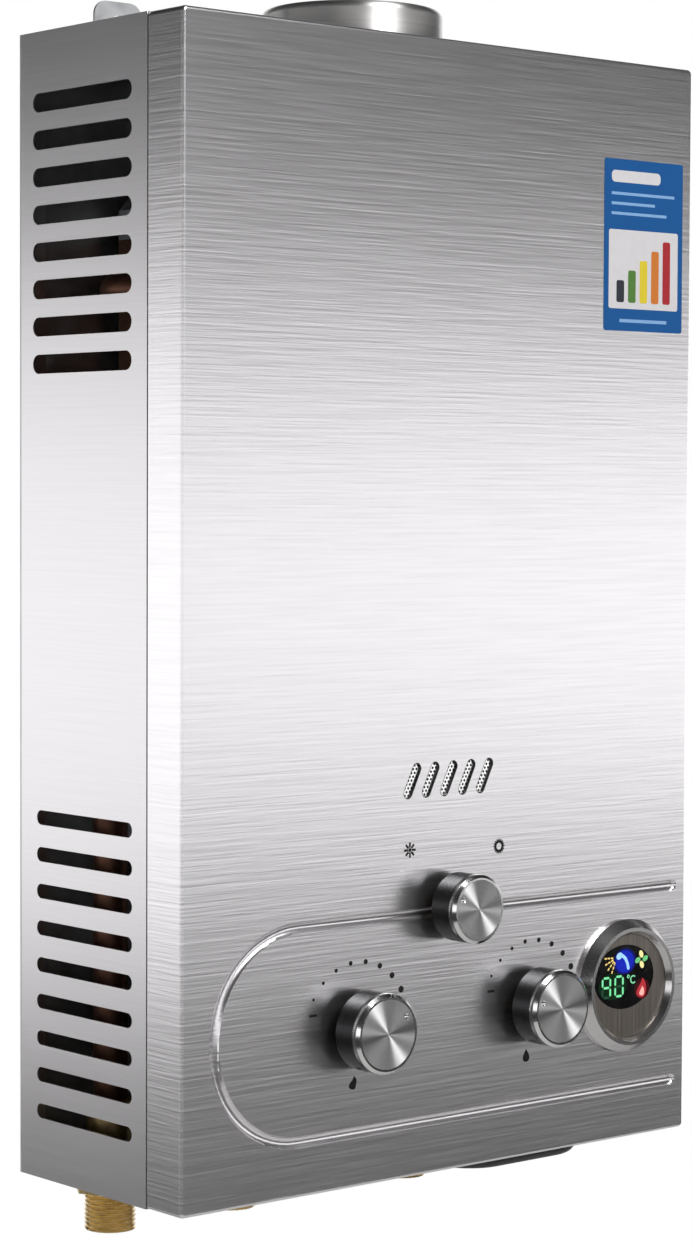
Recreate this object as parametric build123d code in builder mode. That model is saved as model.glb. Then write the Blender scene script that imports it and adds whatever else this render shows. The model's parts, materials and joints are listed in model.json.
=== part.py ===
"""Wall-hung tankless gas water heater, in millimetres.

The wall plane is y = 0, the front faces -Y and +Z is up. The origin is the centre of the wall-hole pattern.
"""
import os
from math import cos, radians, sin

from build123d import *

os.makedirs("parts", exist_ok=True)

# Casing
case_width = 276.0
case_height = 460.0
case_depth = 108.0
sheet = 1.0
cover_depth = 21.5
cover_edge_radius = 1.5
cover_corner_radius = 2.0
seam_gap = 0.8
lip_length = 10.0
flange_width = 10.0
slip = 0.2
overrun = 5.0

# Wall ears of the back plate
ear_spacing = 180.0
ear_width = 24.0
ear_reach = 18.0
ear_hole_rise = 9.0
ear_hole_radius = 3.5
ear_corner_radius = 6.0

# Vent slots of the side panels
upper_vent_wall_margin = 9.3
upper_vent_length = 66.5
upper_vent_width = 7.6
upper_vent_pitch = 14.83
upper_vent_count = 8
upper_vent_drop = 28.2
lower_vent_wall_margin = 12.0
lower_vent_length = 64.5
lower_vent_width = 5.9
lower_vent_pitch = 14.86
lower_vent_count = 9
lower_vent_rise = 27.4

# Pressed bead of the front cover
bead_width = 4.8
bead_depth = 1.5
bead_low_rise = 22.0
bead_drop = 2.4
bead_left_margin = 15.9
bead_right_margin = 8.0

# Flame window and its perforated screen
window_x = -1.4
window_lift = 51.8
window_slot_count = 5
window_slot_pitch = 9.9
window_slot_length = 15.6
window_slot_width = 4.8
window_slot_angle = 64.0
screen_margin = 5.0
screen_thickness = 0.6
screen_hole_radius = 0.55
screen_hole_pitch = 1.7
screen_hole_columns = 2
screen_hole_rows = 7

# Cover screws
screw_spacing = 150.0
screw_radius = 1.5
screw_clearance = 0.1
screw_head_radius = 3.4
screw_head_height = 1.8
screw_length = 6.0

# Controls
gas_knob_share = 0.1804
season_knob_x = -1.3
season_lift = 45.4
regulator_radius = 16.0
season_radius = 14.0
gas_pointer_angle = 34.0
water_pointer_angle = 162.0
season_pointer_angle = 152.0
knob_gap = 5.0
knob_length = 14.0
knob_wall = 1.8
knob_face = 2.0
knob_rim = 2.0
knob_chamfer = 0.8
knob_hub_radius = 6.0
cap_thickness = 1.0
cap_clearance = 0.1
dimple_radius = 1.4
dimple_depth = 0.6
dimple_share = 0.71
spindle_radius = 3.0
spindle_flat = 0.8
spindle_grip = 10.0
spindle_hole_radius = 5.0
running_clearance = 0.05

# Display
display_margin_share = 0.1355
display_lift = 2.3
bezel_radius = 28.5
bezel_knob_gap = 10.4
bezel_edge = 1.6
bezel_height = 6.0
bezel_slope = 3.3
bezel_crest = 1.6
bezel_throat = 1.6
lens_thickness = 2.0
lens_seat_height = 1.2
lens_seat_width = 1.6
lens_lip = 0.4
bezel_collar_step = 0.6
bezel_collar_length = 9.0
ring_nut_inset = 1.0
ring_nut_thickness = 3.0
board_thickness = 1.6
board_setback = 5.0
board_socket_width = 12.0
board_socket_height = 6.0
board_socket_depth = 4.0

# Flue
flue_radius = 38.0
flue_setback = 43.0
flue_rise = 18.0
flue_wall = 1.2
flue_curl = 3.0
flue_flange_radius = 41.5
flue_spigot_length = 14.0

# Combustion chamber, hood and heat exchanger
chamber_depth = 76.0
chamber_wall_gap = 7.0
chamber_top_gap = 80.0
hood_skirt = 12.0
hood_shoulder_width = 80.0
hood_neck_length = 10.0
hood_relief_length = 56.0
hood_relief_height = 6.0
tube_radius = 7.0
tube_wall = 1.0
tube_pitch = 26.0
tube_pass_count = 3
tube_drop = 22.0
tube_hole_clearance = 0.1
tube_stub = 3.0
elbow_offset = 17.0
elbow_radius = 13.0
fin_count = 10
fin_end_gap = 14.0
fin_thickness = 0.6
fin_height = 34.0
fin_clearance = 0.3

# Burner
burner_gap = 10.0
tray_height = 46.0
tray_flange = 8.0
sight_width = 60.0
sight_height = 14.0
blade_count = 7
blade_end_gap = 20.0
blade_width = 14.0
blade_foot_width = 8.0
blade_height = 32.0
blade_clearance = 0.3
blade_port_count = 6
blade_port_width = 1.6
blade_port_depth = 3.0
blade_inlet_radius = 3.0
blade_inlet_depth = 8.0
manifold_depth = 14.0
manifold_height = 16.0
manifold_overhang = 10.0
nozzle_base_radius = 4.0
nozzle_tip_radius = 2.0
nozzle_height = 5.0

# Valves
valve_front = 42.0
valve_wall_gap = 7.0
valve_width = 42.0
valve_height = 36.0
valve_edge_radius = 3.0
boss_length = 18.0
gas_boss_radius = 11.0
water_boss_radius = 5.5
season_boss_radius = 7.5
boss_depth = 14.0
spindle_end_gap = 1.0
gas_riser_radius = 5.5
cold_riser_offset = 11.5
cold_riser_drop = 18.0
bridge_size = 20.0
bridge_bore_radius = 7.0
bridge_window_length = 16.0
bridge_window_width = 6.0
bridge_edge_radius = 3.0
rod_radius = 3.0
rod_engagement = 10.0
rod_travel = 4.0
rod_end_gap = 1.0
rod_collar_radius = 5.5
rod_collar_length = 8.0
switch_length = 20.0
switch_width = 7.0
switch_height = 11.0
switch_plunger_radius = 1.5
switch_plunger_length = 4.0
solenoid_radius = 13.0
solenoid_pipe_gap = 3.5
solenoid_cap_radius = 9.0
solenoid_cap_length = 4.0
diaphragm_radius = 16.5
diaphragm_flange = 4.0
diaphragm_dome_radius = 11.0
diaphragm_dome_height = 6.0

# Pipe fittings through the bottom panel
hot_outlet_margin_share = 0.095
fitting_setback = 26.0
thread_radius = 10.48
thread_length = 15.0
thread_gap = 1.0
neck_radius = 9.9
bore_radius = 7.2
nut_thickness = 6.0
nut_across_flats = 27.0
nut_clearance = 0.1
neck_hole_clearance = 0.3
shoulder_radius = 13.0
shoulder_thickness = 3.0
hot_fitting_rise = 30.0
hot_offset_drop = 150.0
hot_offset_length = 60.0

# Brackets
hat_crown = 16.0
hat_flange = 7.0
rail_inset = 35.0
rail_end_margin = 12.0
valve_bracket_margin = 4.0

# Ignition
igniter_width = 38.0
igniter_bracket_gap = 7.0
igniter_depth = 45.0
igniter_rise = 13.0
igniter_edge_radius = 2.0
electrode_spacing = 14.0
electrode_radius = 3.0
electrode_length = 28.0
electrode_setback = 6.0
electrode_bracket_width = 30.0
electrode_bracket_height = 5.0
electrode_bracket_rise = 12.0
electrode_wire_radius = 0.9
electrode_wire_rise = 6.0
electrode_wire_reach = 14.0
electrode_wire_bend = 3.0
thermostat_radius = 8.0
thermostat_height = 5.0
thermostat_terminal_width = 6.0
thermostat_terminal_height = 4.0

# Battery box
battery_offset = 23.48
battery_boss_gap = 1.1
battery_setback = 62.5
cell_radius = 17.1
cell_length = 61.5
cell_gap = 0.6
cell_nub_radius = 4.75
cell_nub_height = 1.6
cell_clearance = 0.5
cell_drop = 7.0
battery_wall = 1.4
battery_flange_radius = 21.5
battery_flange_thickness = 2.5
contact_radius = 8.0
contact_thickness = 1.2
contact_gap = 0.3
battery_cap_gap = 0.3
battery_cap_height = 7.7
battery_cap_wall = 1.5
battery_cap_edge_radius = 4.0
strip_width = 12.0
strip_thickness = 0.5
hinge_offset = 2.5
hinge_knuckle_radius = 2.6
hinge_pin_radius = 1.2
hinge_pin_clearance = 0.02
hinge_middle_length = 9.4
hinge_side_length = 4.5
hinge_side_gap = 0.3
hinge_web_clearance = 0.4

# Planes and lines that pieces share
half_width = case_width / 2
half_height = case_height / 2
inner_half_width = half_width - sheet
inner_half_height = half_height - sheet
front_y = -case_depth
cover_inner_y = front_y + sheet
seam_y = front_y + cover_depth + seam_gap
lip_y = seam_y - lip_length / 2
cell_bottom = -half_height - cell_drop
tub_top = cell_bottom + cell_length + contact_gap + contact_thickness
regulator_z = tub_top + battery_wall + battery_boss_gap + water_boss_radius
season_z = regulator_z + season_lift
display_z = regulator_z + display_lift
window_z = season_z + window_lift
display_x = half_width - case_width * display_margin_share
water_knob_x = display_x - bezel_radius - bezel_knob_gap - regulator_radius
gas_knob_x = -case_width * gas_knob_share
bezel_crest_outer = bezel_radius - bezel_slope
bezel_crest_inner = bezel_crest_outer - bezel_crest
lens_radius = bezel_crest_inner - bezel_throat
bezel_collar_radius = lens_radius + bezel_collar_step
ring_nut_radius = bezel_radius - ring_nut_inset
hot_outlet_x = case_width * hot_outlet_margin_share - half_width
flue_y = -flue_setback
chamber_width = 2 * (-hot_outlet_x - elbow_offset)
chamber_y = -sheet - chamber_wall_gap - chamber_depth / 2
manifold_top = season_z + manifold_height / 2
tray_bottom = manifold_top + burner_gap
tray_top = tray_bottom + tray_height
chamber_top = half_height - chamber_top_gap
chamber_height = chamber_top - tray_top
blade_bottom = tray_bottom + sheet
blade_top = blade_bottom + blade_height
fin_pitch = (chamber_width - 2 * fin_end_gap) / (fin_count - 1)
blade_pitch = (chamber_width - 2 * blade_end_gap) / (blade_count - 1)
rail_spacing = chamber_width - 2 * rail_inset
tube_z = chamber_top - tube_drop
first_tube_y = chamber_y + tube_pitch * (tube_pass_count - 1) / 2
last_tube_y = chamber_y - tube_pitch * (tube_pass_count - 1) / 2
tube_end_x = chamber_width / 2 + tube_stub
elbow_x = chamber_width / 2 + elbow_offset
valve_front_y = -valve_front
valve_back_y = -sheet - valve_wall_gap
valve_y = (valve_front_y + valve_back_y) / 2
valve_top = regulator_z + valve_height / 2
valve_bottom = regulator_z - valve_height / 2
boss_face_y = valve_front_y - boss_length
manifold_y = valve_front_y + manifold_depth / 2
solenoid_x = gas_knob_x - valve_width / 2
bridge_left = gas_knob_x + valve_width / 2
bridge_right = water_knob_x - valve_width / 2
cold_riser_x = water_knob_x + cold_riser_offset
solenoid_room = solenoid_x - hot_outlet_x - tube_radius
solenoid_length = solenoid_room - solenoid_pipe_gap - solenoid_cap_length
fitting_y = -fitting_setback
neck_bottom = -half_height - nut_thickness - thread_gap
battery_x = water_knob_x + battery_offset
battery_y = -battery_setback
cell_spacing = 2 * cell_radius + cell_gap
tub_radius = cell_radius + cell_clearance
battery_outer_radius = tub_radius + battery_wall
battery_flange_bottom = -half_height - battery_flange_thickness
battery_cap_top = battery_flange_bottom - battery_cap_gap
battery_cap_bottom = battery_cap_top - battery_cap_height
hinge_x = battery_x - cell_spacing / 2 - battery_flange_radius - hinge_offset
hinge_z = battery_flange_bottom - hinge_knuckle_radius - battery_cap_gap


def save(builder, name):
    """Label a finished piece and write its STEP file."""
    builder.part.label = name
    export_step(builder.part, f"parts/{name}.step")


# Back plate
with BuildPart() as back_plate:
    with BuildSketch(Plane.XZ):
        Rectangle(case_width, case_height)
        with GridLocations(ear_spacing, case_height, 2, 2):
            RectangleRounded(ear_width, 2 * ear_reach, ear_corner_radius)
        with GridLocations(ear_spacing, case_height + 2 * ear_hole_rise, 2, 2):
            Circle(ear_hole_radius, mode=Mode.SUBTRACT)
    extrude(amount=sheet)
save(back_plate, "back_plate")


# Folded casing walls
def folded_wall(outward, along, reach, span):
    """A wall with a flange on the back plate and a joggled lip that slips under the cover's return."""
    section = Plane(origin=(0, 0, 0), x_dir=outward, z_dir=along)
    inner = reach - sheet
    lip_outer = inner - slip
    lip_inner = lip_outer - sheet
    lip_front = seam_y - lip_length
    with BuildPart() as wall:
        with BuildSketch(section):
            with Locations((reach - sheet / 2, (seam_y - sheet) / 2)):
                Rectangle(sheet, -seam_y - sheet)
        extrude(amount=span / 2, both=True)
        with BuildSketch(section):
            with Locations((inner - flange_width / 2, -sheet - sheet / 2)):
                Rectangle(flange_width, sheet)
        extrude(amount=span / 2 - flange_width - 2 * sheet, both=True)
        with BuildSketch(section):
            with BuildLine():
                Polyline(
                    (inner, seam_y),
                    (lip_outer, seam_y),
                    (lip_outer, lip_front),
                    (lip_inner, lip_front),
                    (lip_inner, seam_y + sheet),
                    (inner, seam_y + sheet),
                    close=True,
                )
            make_face()
        extrude(amount=span / 2 - 2 * sheet - 2 * slip, both=True)
    return wall.part


def side_panel(side):
    """A casing side with its two banks of vent slots."""
    with BuildPart() as panel:
        add(folded_wall((side, 0, 0), (0, 0, side), half_width, case_height))
        upper_vent_z = half_height - upper_vent_drop - upper_vent_pitch * (upper_vent_count - 1) / 2
        lower_vent_z = lower_vent_rise + lower_vent_pitch * (lower_vent_count - 1) / 2 - half_height
        with BuildSketch(Plane.YZ.offset(side * half_width)):
            with Locations((-upper_vent_wall_margin - upper_vent_length / 2, upper_vent_z)):
                with GridLocations(upper_vent_length, upper_vent_pitch, 1, upper_vent_count):
                    SlotOverall(upper_vent_length, upper_vent_width)
            with Locations((-lower_vent_wall_margin - lower_vent_length / 2, lower_vent_z)):
                with GridLocations(lower_vent_length, lower_vent_pitch, 1, lower_vent_count):
                    SlotOverall(lower_vent_length, lower_vent_width)
        extrude(amount=overrun, both=True, mode=Mode.SUBTRACT)
    return panel


save(side_panel(-1), "side_panel_left")
save(side_panel(1), "side_panel_right")

# Top panel with the flue hole
with BuildPart() as top_panel:
    add(folded_wall((0, 0, 1), (-1, 0, 0), half_height, 2 * inner_half_width))
    with BuildSketch(Plane.XY.offset(half_height)):
        with Locations((0, flue_y)):
            Circle(flue_radius - flue_wall + slip)
        with Locations((0, lip_y)):
            with GridLocations(screw_spacing, lip_length, 2, 1):
                Circle(screw_radius + screw_clearance)
    extrude(amount=overrun, both=True, mode=Mode.SUBTRACT)
save(top_panel, "top_panel")

# Bottom panel with the pipe holes and the battery opening
with BuildPart() as bottom_panel:
    add(folded_wall((0, 0, -1), (1, 0, 0), half_height, 2 * inner_half_width))
    with BuildSketch(Plane.XY.offset(-half_height)):
        for pipe_x in (hot_outlet_x, gas_knob_x, water_knob_x):
            with Locations((pipe_x, fitting_y)):
                Circle(neck_radius + neck_hole_clearance)
        with Locations((battery_x, battery_y)):
            SlotCenterToCenter(cell_spacing, 2 * (battery_outer_radius + slip))
        with Locations((0, lip_y)):
            with GridLocations(screw_spacing, lip_length, 2, 1):
                Circle(screw_radius + screw_clearance)
    extrude(amount=overrun, both=True, mode=Mode.SUBTRACT)
save(bottom_panel, "bottom_panel")

# Front cover: a pressed tray with a C-shaped bead, the flame window and the control holes
bead_radius = (bead_width**2 / 4 + bead_depth**2) / (2 * bead_depth)
bead_low_z = bead_low_rise - half_height
bead_high_z = season_z - bead_drop
bead_turn_radius = (bead_high_z - bead_low_z) / 2
bead_turn_x = bead_left_margin + bead_turn_radius - half_width
bead_end_x = half_width - bead_right_margin


def bead_sweep(radius):
    """A round bar along the bead's C, with its centre line in front of the cover."""
    with BuildPart() as bar:
        with BuildLine(Plane.XZ.offset(case_depth + bead_radius - bead_depth)) as path:
            upper = Line((bead_end_x, bead_high_z), (bead_turn_x, bead_high_z))
            turn = JernArc(upper @ 1, (-1, 0), bead_turn_radius, 180)
            Line(turn @ 1, (bead_end_x, bead_low_z))
        with BuildSketch(Plane(origin=path.line @ 0, z_dir=path.line % 0)):
            Circle(radius)
        sweep(path=path.wires()[0])
        with Locations(path.line @ 0, path.line @ 1):
            Sphere(radius)
    return bar.part


with BuildPart() as bead_back:
    add(bead_sweep(bead_radius + sheet))
    split(bisect_by=Plane.XZ.offset(case_depth - sheet / 2), keep=Keep.BOTTOM)

with BuildPart() as front_cover:
    with BuildSketch(Plane.XZ.offset(case_depth - cover_depth)):
        RectangleRounded(case_width, case_height, cover_corner_radius)
    extrude(amount=cover_depth)
    fillet(front_cover.faces().sort_by(Axis.Y)[0].edges(), radius=cover_edge_radius)
    offset(amount=-sheet, openings=front_cover.faces().sort_by(Axis.Y)[-1])
    add(bead_back.part)
    add(bead_sweep(bead_radius), mode=Mode.SUBTRACT)
    with BuildSketch(Plane.XZ.offset(case_depth)):
        with Locations((gas_knob_x, regulator_z), (water_knob_x, regulator_z), (season_knob_x, season_z)):
            Circle(spindle_hole_radius)
        with Locations((display_x, display_z)):
            Circle(bezel_collar_radius + slip)
        with Locations((window_x, window_z)):
            with GridLocations(window_slot_pitch, window_slot_length, window_slot_count, 1):
                SlotOverall(window_slot_length, window_slot_width, rotation=window_slot_angle)
    extrude(amount=overrun, both=True, mode=Mode.SUBTRACT)
    with BuildSketch(Plane.XY):
        with Locations((0, lip_y)):
            with GridLocations(screw_spacing, lip_length, 2, 1):
                Circle(screw_radius + screw_clearance)
    extrude(amount=half_height + overrun, both=True, mode=Mode.SUBTRACT)
save(front_cover, "front_cover")

# Perforated screen behind the flame window
screen_width = window_slot_pitch * (window_slot_count - 1) + window_slot_length + 2 * screen_margin
screen_height = window_slot_length + 2 * screen_margin
with BuildPart() as window_screen:
    with BuildSketch(Plane.XZ.offset(-cover_inner_y - screen_thickness)):
        with Locations((window_x, window_z)):
            Rectangle(screen_width, screen_height)
            with GridLocations(window_slot_pitch, window_slot_length, window_slot_count, 1):
                with HexLocations(screen_hole_pitch / 2, screen_hole_columns, screen_hole_rows):
                    RegularPolygon(screen_hole_radius, 6, mode=Mode.SUBTRACT)
    extrude(amount=screen_thickness)
save(window_screen, "window_screen")

# Screws through the cover's returns into the lips
with BuildPart() as cover_screws:
    for side in (1, -1):
        with BuildSketch(Plane.XY.offset(side * half_height)):
            with Locations((0, lip_y)):
                with GridLocations(screw_spacing, lip_length, 2, 1):
                    Circle(screw_head_radius)
        extrude(amount=side * screw_head_height)
        with BuildSketch(Plane.XY.offset(side * half_height)):
            with Locations((0, lip_y)):
                with GridLocations(screw_spacing, lip_length, 2, 1):
                    Circle(screw_radius)
        extrude(amount=-side * screw_length)
save(cover_screws, "cover_screws")


# Knobs, their aluminium faces and their spindles
def control(name, x, z, radius, pointer_angle):
    """A hollow knob on the D-end of a spindle that turns in its valve's boss."""
    profile = Plane(origin=(x, front_y, z), x_dir=(1, 0, 0), z_dir=(0, 0, -1))
    spin = Axis((x, front_y, z), (0, -1, 0))
    front = knob_gap + knob_length
    seat = front - cap_thickness
    roof = seat - knob_face
    seat_radius = radius - knob_rim
    flat_offset = spindle_radius - spindle_flat
    with BuildPart() as knob:
        with BuildSketch(profile):
            with BuildLine():
                Polyline(
                    (0, knob_gap),
                    (knob_hub_radius, knob_gap),
                    (knob_hub_radius, roof),
                    (radius - knob_wall, roof),
                    (radius - knob_wall, knob_gap),
                    (radius, knob_gap),
                    (radius, front - knob_chamfer),
                    (radius - knob_chamfer, front),
                    (seat_radius, front),
                    (seat_radius, seat),
                    (0, seat),
                    close=True,
                )
            make_face()
        revolve(axis=spin)
        with BuildSketch(Plane.XZ.offset(case_depth + knob_gap)):
            with Locations((x, z)):
                Circle(spindle_radius + running_clearance)
                with Locations((0, flat_offset + running_clearance + spindle_radius)):
                    Rectangle(2 * knob_hub_radius, 2 * spindle_radius, mode=Mode.SUBTRACT)
        extrude(amount=spindle_grip, mode=Mode.SUBTRACT)
    save(knob, f"{name}_knob")
    with BuildPart() as cap:
        with BuildSketch(Plane.XZ.offset(case_depth + seat)):
            with Locations((x, z)):
                Circle(seat_radius - cap_clearance)
        extrude(amount=cap_thickness)
        dimple_reach = dimple_share * radius
        ball_radius = (dimple_radius**2 + dimple_depth**2) / (2 * dimple_depth)
        dimple_x = x + dimple_reach * cos(radians(pointer_angle))
        dimple_z = z + dimple_reach * sin(radians(pointer_angle))
        with Locations((dimple_x, front_y - front - ball_radius + dimple_depth, dimple_z)):
            Sphere(ball_radius, mode=Mode.SUBTRACT)
    save(cap, f"{name}_knob_cap")
    with BuildPart() as spindle:
        shoulder = case_depth
        inner_end = -boss_face_y - boss_depth + spindle_end_gap
        with BuildSketch(Plane.XZ.offset(inner_end)):
            with Locations((x, z)):
                Circle(spindle_radius)
        extrude(amount=shoulder - inner_end + knob_gap)
        with BuildSketch(Plane.XZ.offset(shoulder + knob_gap)):
            with Locations((x, z)):
                Circle(spindle_radius)
                with Locations((0, flat_offset + spindle_radius)):
                    Rectangle(2 * knob_hub_radius, 2 * spindle_radius, mode=Mode.SUBTRACT)
        extrude(amount=spindle_grip)
    save(spindle, f"{name}_spindle")


control("gas", gas_knob_x, regulator_z, regulator_radius, gas_pointer_angle)
control("water", water_knob_x, regulator_z, regulator_radius, water_pointer_angle)
control("season", season_knob_x, season_z, season_radius, season_pointer_angle)

# Display: bezel with its collar, lens, board and the ring nut behind the cover
display_profile = Plane(origin=(display_x, front_y, display_z), x_dir=(1, 0, 0), z_dir=(0, 0, -1))
display_axis = Axis((display_x, front_y, display_z), (0, -1, 0))
lens_top = lens_seat_height + lens_thickness
collar_bore = lens_radius - lens_seat_width
with BuildPart() as display_bezel:
    with BuildSketch(display_profile):
        with BuildLine():
            Polyline(
                (bezel_radius, 0),
                (bezel_radius, bezel_edge),
                (bezel_crest_outer, bezel_height),
                (bezel_crest_inner, bezel_height),
                (lens_radius + cap_clearance, lens_top + lens_lip),
                (lens_radius + cap_clearance, lens_seat_height),
                (collar_bore, lens_seat_height),
                (collar_bore, -bezel_collar_length),
                (bezel_collar_radius, -bezel_collar_length),
                (bezel_collar_radius, 0),
                close=True,
            )
        make_face()
    revolve(axis=display_axis)
save(display_bezel, "display_bezel")

with BuildPart() as display_lens:
    with BuildSketch(Plane.XZ.offset(case_depth + lens_seat_height)):
        with Locations((display_x, display_z)):
            Circle(lens_radius)
    extrude(amount=lens_thickness)
save(display_lens, "display_lens")

with BuildPart() as display_board:
    with BuildSketch(Plane.XZ.offset(case_depth - board_setback)):
        with Locations((display_x, display_z)):
            Circle(collar_bore - slip)
    extrude(amount=board_thickness)
    with BuildSketch(Plane.XZ.offset(case_depth - board_setback)):
        with Locations((display_x, display_z)):
            Rectangle(board_socket_width, board_socket_height)
    extrude(amount=-board_socket_depth)
save(display_board, "display_board")

with BuildPart() as display_ring_nut:
    with BuildSketch(Plane.XZ.offset(-cover_inner_y)):
        with Locations((display_x, display_z)):
            Circle(ring_nut_radius)
            Circle(bezel_collar_radius + slip, mode=Mode.SUBTRACT)
    extrude(amount=-ring_nut_thickness)
save(display_ring_nut, "display_ring_nut")

# Flue collar: spigot, flange on the top panel and a tube with an inward curl
flue_profile = Plane(origin=(0, flue_y, 0), x_dir=(1, 0, 0), z_dir=(0, -1, 0))
flue_top = half_height + flue_rise
spigot_radius = flue_radius - flue_wall
with BuildPart() as flue_collar:
    with BuildSketch(flue_profile) as collar_section:
        with BuildLine():
            Polyline(
                (spigot_radius - flue_wall, half_height - flue_spigot_length),
                (spigot_radius, half_height - flue_spigot_length),
                (spigot_radius, half_height),
                (flue_flange_radius, half_height),
                (flue_flange_radius, half_height + sheet),
                (flue_radius, half_height + sheet),
                (flue_radius, flue_top),
                (flue_radius - flue_curl - flue_wall, flue_top),
                (flue_radius - flue_curl - flue_wall, flue_top - flue_wall),
                (spigot_radius, flue_top - flue_wall),
                (spigot_radius, half_height + sheet + flue_wall),
                (spigot_radius - flue_wall, half_height + sheet),
                close=True,
            )
        make_face()
        throat = collar_section.vertices().group_by(Axis.Y)[-2].sort_by(Axis.X)[-1]
        fillet(throat, radius=flue_curl - flue_wall)
        rim = collar_section.vertices().group_by(Axis.Y)[-1].sort_by(Axis.X)[-1]
        fillet(rim, radius=flue_curl)
    revolve(axis=Axis((0, flue_y, 0), (0, 0, 1)))
save(flue_collar, "flue_collar")

# Flue hood: a folded draught hood from the chamber up to the collar
hood_shoulder_z = inner_half_height - slip - hood_neck_length
hood_slope_z = chamber_top + hood_skirt
with BuildPart() as flue_hood:
    with BuildSketch(Plane.XY.offset(chamber_top)):
        with Locations((0, chamber_y)):
            Rectangle(chamber_width, chamber_depth)
    extrude(amount=hood_skirt)
    with BuildSketch(Plane.XY.offset(hood_slope_z)):
        with Locations((0, chamber_y)):
            Rectangle(chamber_width, chamber_depth)
    with BuildSketch(Plane.XY.offset(hood_shoulder_z)):
        with Locations((0, flue_y)):
            Rectangle(hood_shoulder_width, hood_shoulder_width)
    loft(ruled=True)
    with BuildSketch(Plane.XY.offset(hood_shoulder_z)):
        with Locations((0, flue_y)):
            Circle(flue_radius)
    extrude(amount=hood_neck_length)
    with BuildSketch(Plane.XY.offset(chamber_top)):
        with Locations((0, chamber_y)):
            Rectangle(chamber_width - 2 * sheet, chamber_depth - 2 * sheet)
    extrude(amount=hood_skirt, mode=Mode.SUBTRACT)
    with BuildSketch(Plane.XY.offset(hood_slope_z)):
        with Locations((0, chamber_y)):
            Rectangle(chamber_width - 2 * sheet, chamber_depth - 2 * sheet)
    with BuildSketch(Plane.XY.offset(hood_shoulder_z - sheet)):
        with Locations((0, flue_y)):
            Rectangle(hood_shoulder_width - 2 * sheet, hood_shoulder_width - 2 * sheet)
    loft(ruled=True, mode=Mode.SUBTRACT)
    with BuildSketch(Plane.XY.offset(hood_shoulder_z)):
        with Locations((0, flue_y)):
            Circle(spigot_radius + slip)
    extrude(amount=hood_neck_length + overrun, both=True, mode=Mode.SUBTRACT)
    with BuildSketch(Plane.YZ):
        with Locations((chamber_y, chamber_top + hood_skirt / 2)):
            SlotOverall(hood_relief_length, hood_relief_height)
    extrude(amount=chamber_width, both=True, mode=Mode.SUBTRACT)
save(flue_hood, "flue_hood")


# Combustion chamber: a copper jacket that the exchanger tube passes through
def tube_rows(y_of_centre):
    """The places of the exchanger tube's passes in a Y-Z sketch."""
    first_y = y_of_centre - tube_pitch * (tube_pass_count - 1) / 2
    return [(first_y + tube_pitch * row, tube_z) for row in range(tube_pass_count)]


with BuildPart() as combustion_chamber:
    with BuildSketch(Plane.XY.offset(tray_top)):
        with Locations((0, chamber_y)):
            Rectangle(chamber_width, chamber_depth)
            Rectangle(chamber_width - 2 * sheet, chamber_depth - 2 * sheet, mode=Mode.SUBTRACT)
    extrude(amount=chamber_height)
    with BuildSketch(Plane.YZ):
        with Locations(*tube_rows(chamber_y)):
            Circle(tube_radius + tube_hole_clearance)
    extrude(amount=chamber_width, both=True, mode=Mode.SUBTRACT)
save(combustion_chamber, "combustion_chamber")

# Exchanger fins
with BuildPart() as exchanger_fins:
    first_fin_x = -fin_pitch * (fin_count - 1) / 2
    for fin in range(fin_count):
        with BuildSketch(Plane.YZ.offset(first_fin_x + fin * fin_pitch)):
            with Locations((chamber_y, tube_z)):
                Rectangle(chamber_depth - 2 * sheet - 2 * fin_clearance, fin_height)
            with Locations(*tube_rows(chamber_y)):
                Circle(tube_radius + running_clearance, mode=Mode.SUBTRACT)
        extrude(amount=fin_thickness)
save(exchanger_fins, "exchanger_fins")


# Water pipes
def pipe(path):
    """A round pipe along a path of straight runs and tangent arcs."""
    with BuildPart() as run:
        with BuildSketch(Plane(origin=path.line @ 0, z_dir=path.line % 0)):
            Circle(tube_radius)
            Circle(tube_radius - tube_wall, mode=Mode.SUBTRACT)
        sweep(path=path.wires()[0])
    return run


with BuildLine(Plane.XY.offset(tube_z)) as exchanger_path:
    passes = Line((tube_end_x, first_tube_y), (-tube_end_x, first_tube_y))
    for turn in range(tube_pass_count - 1):
        heading = -1 if turn % 2 == 0 else 1
        bend = JernArc(passes @ 1, (heading, 0), tube_pitch / 2, -180 * heading)
        passes = Line(bend @ 1, (-heading * tube_end_x, (bend @ 1).Y))
save(pipe(exchanger_path), "exchanger_tube")

cold_riser_top = tray_bottom - cold_riser_drop
with BuildLine() as cold_path:
    FilletPolyline(
        (cold_riser_x, first_tube_y, valve_top),
        (cold_riser_x, first_tube_y, cold_riser_top),
        (elbow_x, first_tube_y, cold_riser_top),
        (elbow_x, first_tube_y, tube_z),
        (tube_end_x, first_tube_y, tube_z),
        radius=elbow_radius,
    )
save(pipe(cold_path), "cold_riser")

hot_fitting_top = -inner_half_height + hot_fitting_rise
hot_offset_top = tube_z - hot_offset_drop
with BuildLine() as hot_path:
    FilletPolyline(
        (-tube_end_x, last_tube_y, tube_z),
        (hot_outlet_x, last_tube_y, tube_z),
        (hot_outlet_x, last_tube_y, hot_offset_top),
        (hot_outlet_x, fitting_y, hot_offset_top - hot_offset_length),
        (hot_outlet_x, fitting_y, hot_fitting_top),
        radius=elbow_radius,
    )
save(pipe(hot_path), "hot_pipe")


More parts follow.
